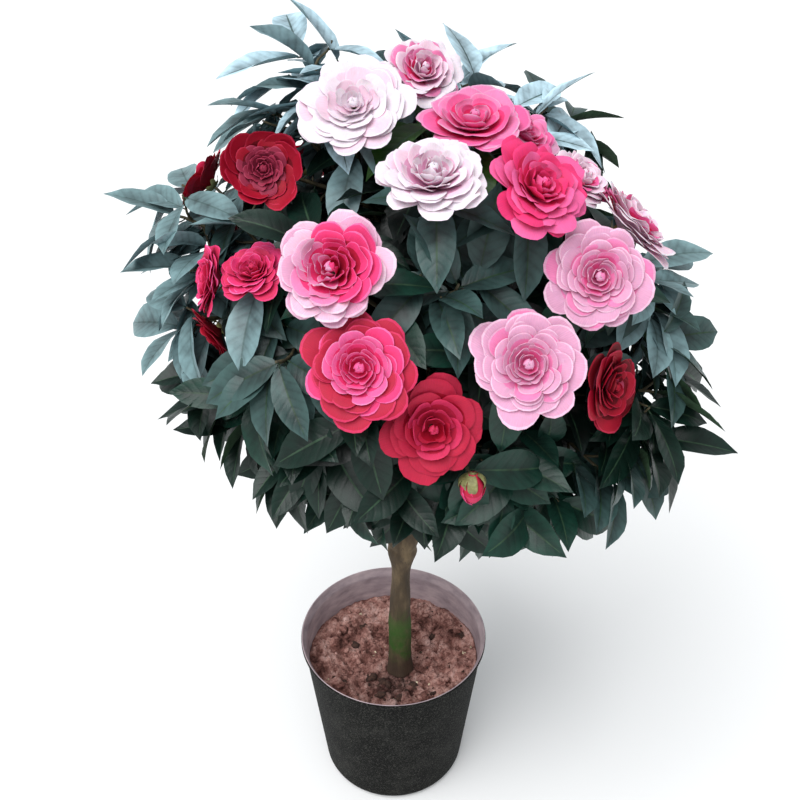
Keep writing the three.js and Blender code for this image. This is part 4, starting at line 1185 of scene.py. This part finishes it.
def tint_of(shoot):
    """The colour of a shoot's leaves: on the upper and outer crown the light tints and the sheen, painted
    reflection of the sky; on inner shoots the darkest tint, painted shade inside the crown; elsewhere the
    leaves' own mid and dark greens, with some young ones.
    """
    value, direction = make_random(shoot.seed + 3)(), shoot.direction
    left, high, spray = -direction[0], direction[2], shoot.kind == "spray"
    # the inner shoots' leaves get the darkest tint, painted shade inside the crown
    if shoot.kind == "inner":
        return "inner_shade"
    if high > 0.8:
        return "pale" if spray else ("sky_sheen" if value < 0.75 else "young")
    if left > 0.5 and high > 0:
        if spray:
            return "sky_sheen"
        steps = ((0.35, "sheen"), (0.5, "sky_sheen"), (0.72, "mid"), (0.92, "dark"))
        return next((name for level, name in steps if value <= level), "young")
    if left < -0.5 and high > -0.15 and spray:
        return "sky_sheen" if value < 0.5 else "sheen"
    if high > 0.45:
        return "sheen" if value < 0.5 else "mid"
    if left < -0.6 and value < 0.45:
        return "sheen"
    return "mid" if value < 0.45 else "dark"


def taper(root, loss):
    return lambda along: root - loss * along


def grow_crown():
    """The twigs as a pile, and the leaves on them."""
    grow_shoots()
    twigs, leaves = Pile(), Leaves()
    for stem in STEMS.values():
        twigs.tube(stem, taper(*STEM_RADII), 8, 8)
    order = list(GROWTH)
    grown = sorted((s for s in SHOOTS if s.curve), key=lambda s: order.index(s.kind))
    for shoot in grown:
        twigs.tube(shoot.curve, taper(*SHOOT_RADII), 6, 10)
        behind = shoot.bloom["length"] / 2 * SLIM + 3 if shoot.bloom else FIRST_LEAF
        grow_leaves(leaves, shoot.curve, shoot.seed, shoot, GROWTH[shoot.kind], behind)
    for shoot in grown:
        for twig, seed in side_twigs(shoot) if shoot.kind != "bloom" else ():
            twigs.tube(twig, taper(*TWIG_RADII), 5, 6)
            grow_leaves(leaves, twig, seed, shoot, TWIG_GROWTH, scale=TWIG_LEAF_SCALE)
    return twigs, leaves.poses


def leaf_pieces(poses, foliage):
    materials = [leaf_material(f"leaf_{name}", rgb) for name, rgb in LEAF_TINTS.items()]
    materials += [leaf_material(*back) for back in LEAF_BACKS]
    points = leaf_points(poses, LEAF_RUN, LEAF_WIDE, LEAF_SIDE)
    uvs = np.stack([LEAF_WIDE, LEAF_RUN], -1)
    for part in range(LEAF_PIECES):
        pile = Pile()
        for pose, verts in list(zip(poses, points))[part::LEAF_PIECES]:
            # leaves in the light tints take the lighter backs, painted sky sheen on their undersides and
            # midribs
            kind, under = TINTS.index(pose["tint"]), len(TINTS) + 2 * (pose["tint"] in PALE_SHEEN_TINTS)
            kinds = [np.where(LEAF_RIB, under + 1, kind), kind, under, under]
            pile.add(verts, LEAF_FACES, kinds, uvs, LEAF_SIDE == 0)
            stalk = Curve(pose["base"], pose["base"] + pose["along"] * (PETIOLE + 3))
            pile.tube(stalk, taper(*STALK_RADII), 3, 1, len(TINTS) + 1)
        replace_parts(pile.piece(f"leaves_{part + 1}", materials, "foliage"), *foliage)


def bloom_pieces(foliage):
    materials = [petal_material(f"petal_{name}", rgb) for name, rgb in PALETTE.items()]
    pale, red, sepals = Pile(), Pile(), Pile()
    uvs, rim = np.stack([PETAL_WIDE, PETAL_RUN], -1), PETAL_SIDE == 0
    for shoot in BLOOMS:
        if shoot.curve is None:
            continue
        turn, style = bloom_frame(shoot), shoot.bloom["style"]
        draw = make_random(shoot.seed + 29)
        for petal in bud_petals(shoot) if style == "bud" else bloom_petals(shoot):
            shades = petal_shades(petal, style, draw)
            verts = petal_points(petal) @ turn + shoot.tip
            (red if style in RED_STYLES else pale).add(verts, PETAL_FACES, [shades, shades], uvs, rim)
        for sepal in sepal_petals(shoot):
            sepals.add(petal_points(sepal) @ turn + shoot.tip, PETAL_FACES, [0, 0], uvs, rim)
    for name, pile in (("petals_pale", pale), ("petals_red", red)):
        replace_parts(pile.piece(name, materials, "foliage"), *foliage)
    husk = speckled("sepal", 0.6, 160, (96, 92, 52), (150, 148, 96))
    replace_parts(sepals.piece("sepals", [husk.material], "foliage"), *foliage)


# ---- studio

CAMERA_PLACE, CAMERA_TILT, CAMERA_LENS, SENSOR = (0.010, -1.018, 1.370), 55.39, 45, 36
FLOOR_REACH, FLOOR_GREY = 9, 0.86
SKY_COLOUR, SKY_STRENGTH = (0.93, 0.97, 1.0, 1), 0.56
LIGHT_STRENGTH, LIGHT_SPREAD, LIGHT_COURSE = 3.1, 55, (0.35, 0.5, -1)


def studio():
    scene = bpy.context.scene
    camera = add_object("camera", bpy.data.cameras.new("camera"))
    camera.location = CAMERA_PLACE
    camera.rotation_euler = (math.radians(CAMERA_TILT), 0, 0)
    camera.data.lens, camera.data.sensor_width = CAMERA_LENS, SENSOR
    scene.camera = camera

    floor = bpy.data.meshes.new("floor")
    corners = [(FLOOR_REACH * x, FLOOR_REACH * y, 0) for x, y in ((-1, -1), (1, -1), (1, 1), (-1, 1))]
    floor.from_pydata(corners, [], [(0, 1, 2, 3)])
    grey = (FLOOR_GREY, FLOOR_GREY, FLOOR_GREY, 1)
    floor.materials.append(Nodes("floor", 0.9, Base_Color=grey).material)
    add_object("floor", floor)

    world = bpy.data.worlds.new("studio")
    scene.world = world
    world.use_nodes = True
    sky = world.node_tree.nodes["Background"]
    sky.inputs["Color"].default_value, sky.inputs["Strength"].default_value = SKY_COLOUR, SKY_STRENGTH
    light = add_object("sky", bpy.data.lights.new("sky", "SUN"))
    light.data.energy, light.data.angle = LIGHT_STRENGTH, math.radians(LIGHT_SPREAD)
    light.rotation_euler = Vector(LIGHT_COURSE).to_track_quat("-Z", "Y").to_euler()
    scene.view_settings.view_transform = "Standard"


def main():
    foliage = sorted(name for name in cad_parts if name.startswith("foliage_"))
    studio()
    pot_piece()
    soil_piece()
    bark_piece()
    twigs, leaves = grow_crown()
    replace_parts(twigs.piece("twigs", [twig_material()], "bark"), *foliage)
    leaf_pieces(leaves, foliage)
    bloom_pieces(foliage)


main()
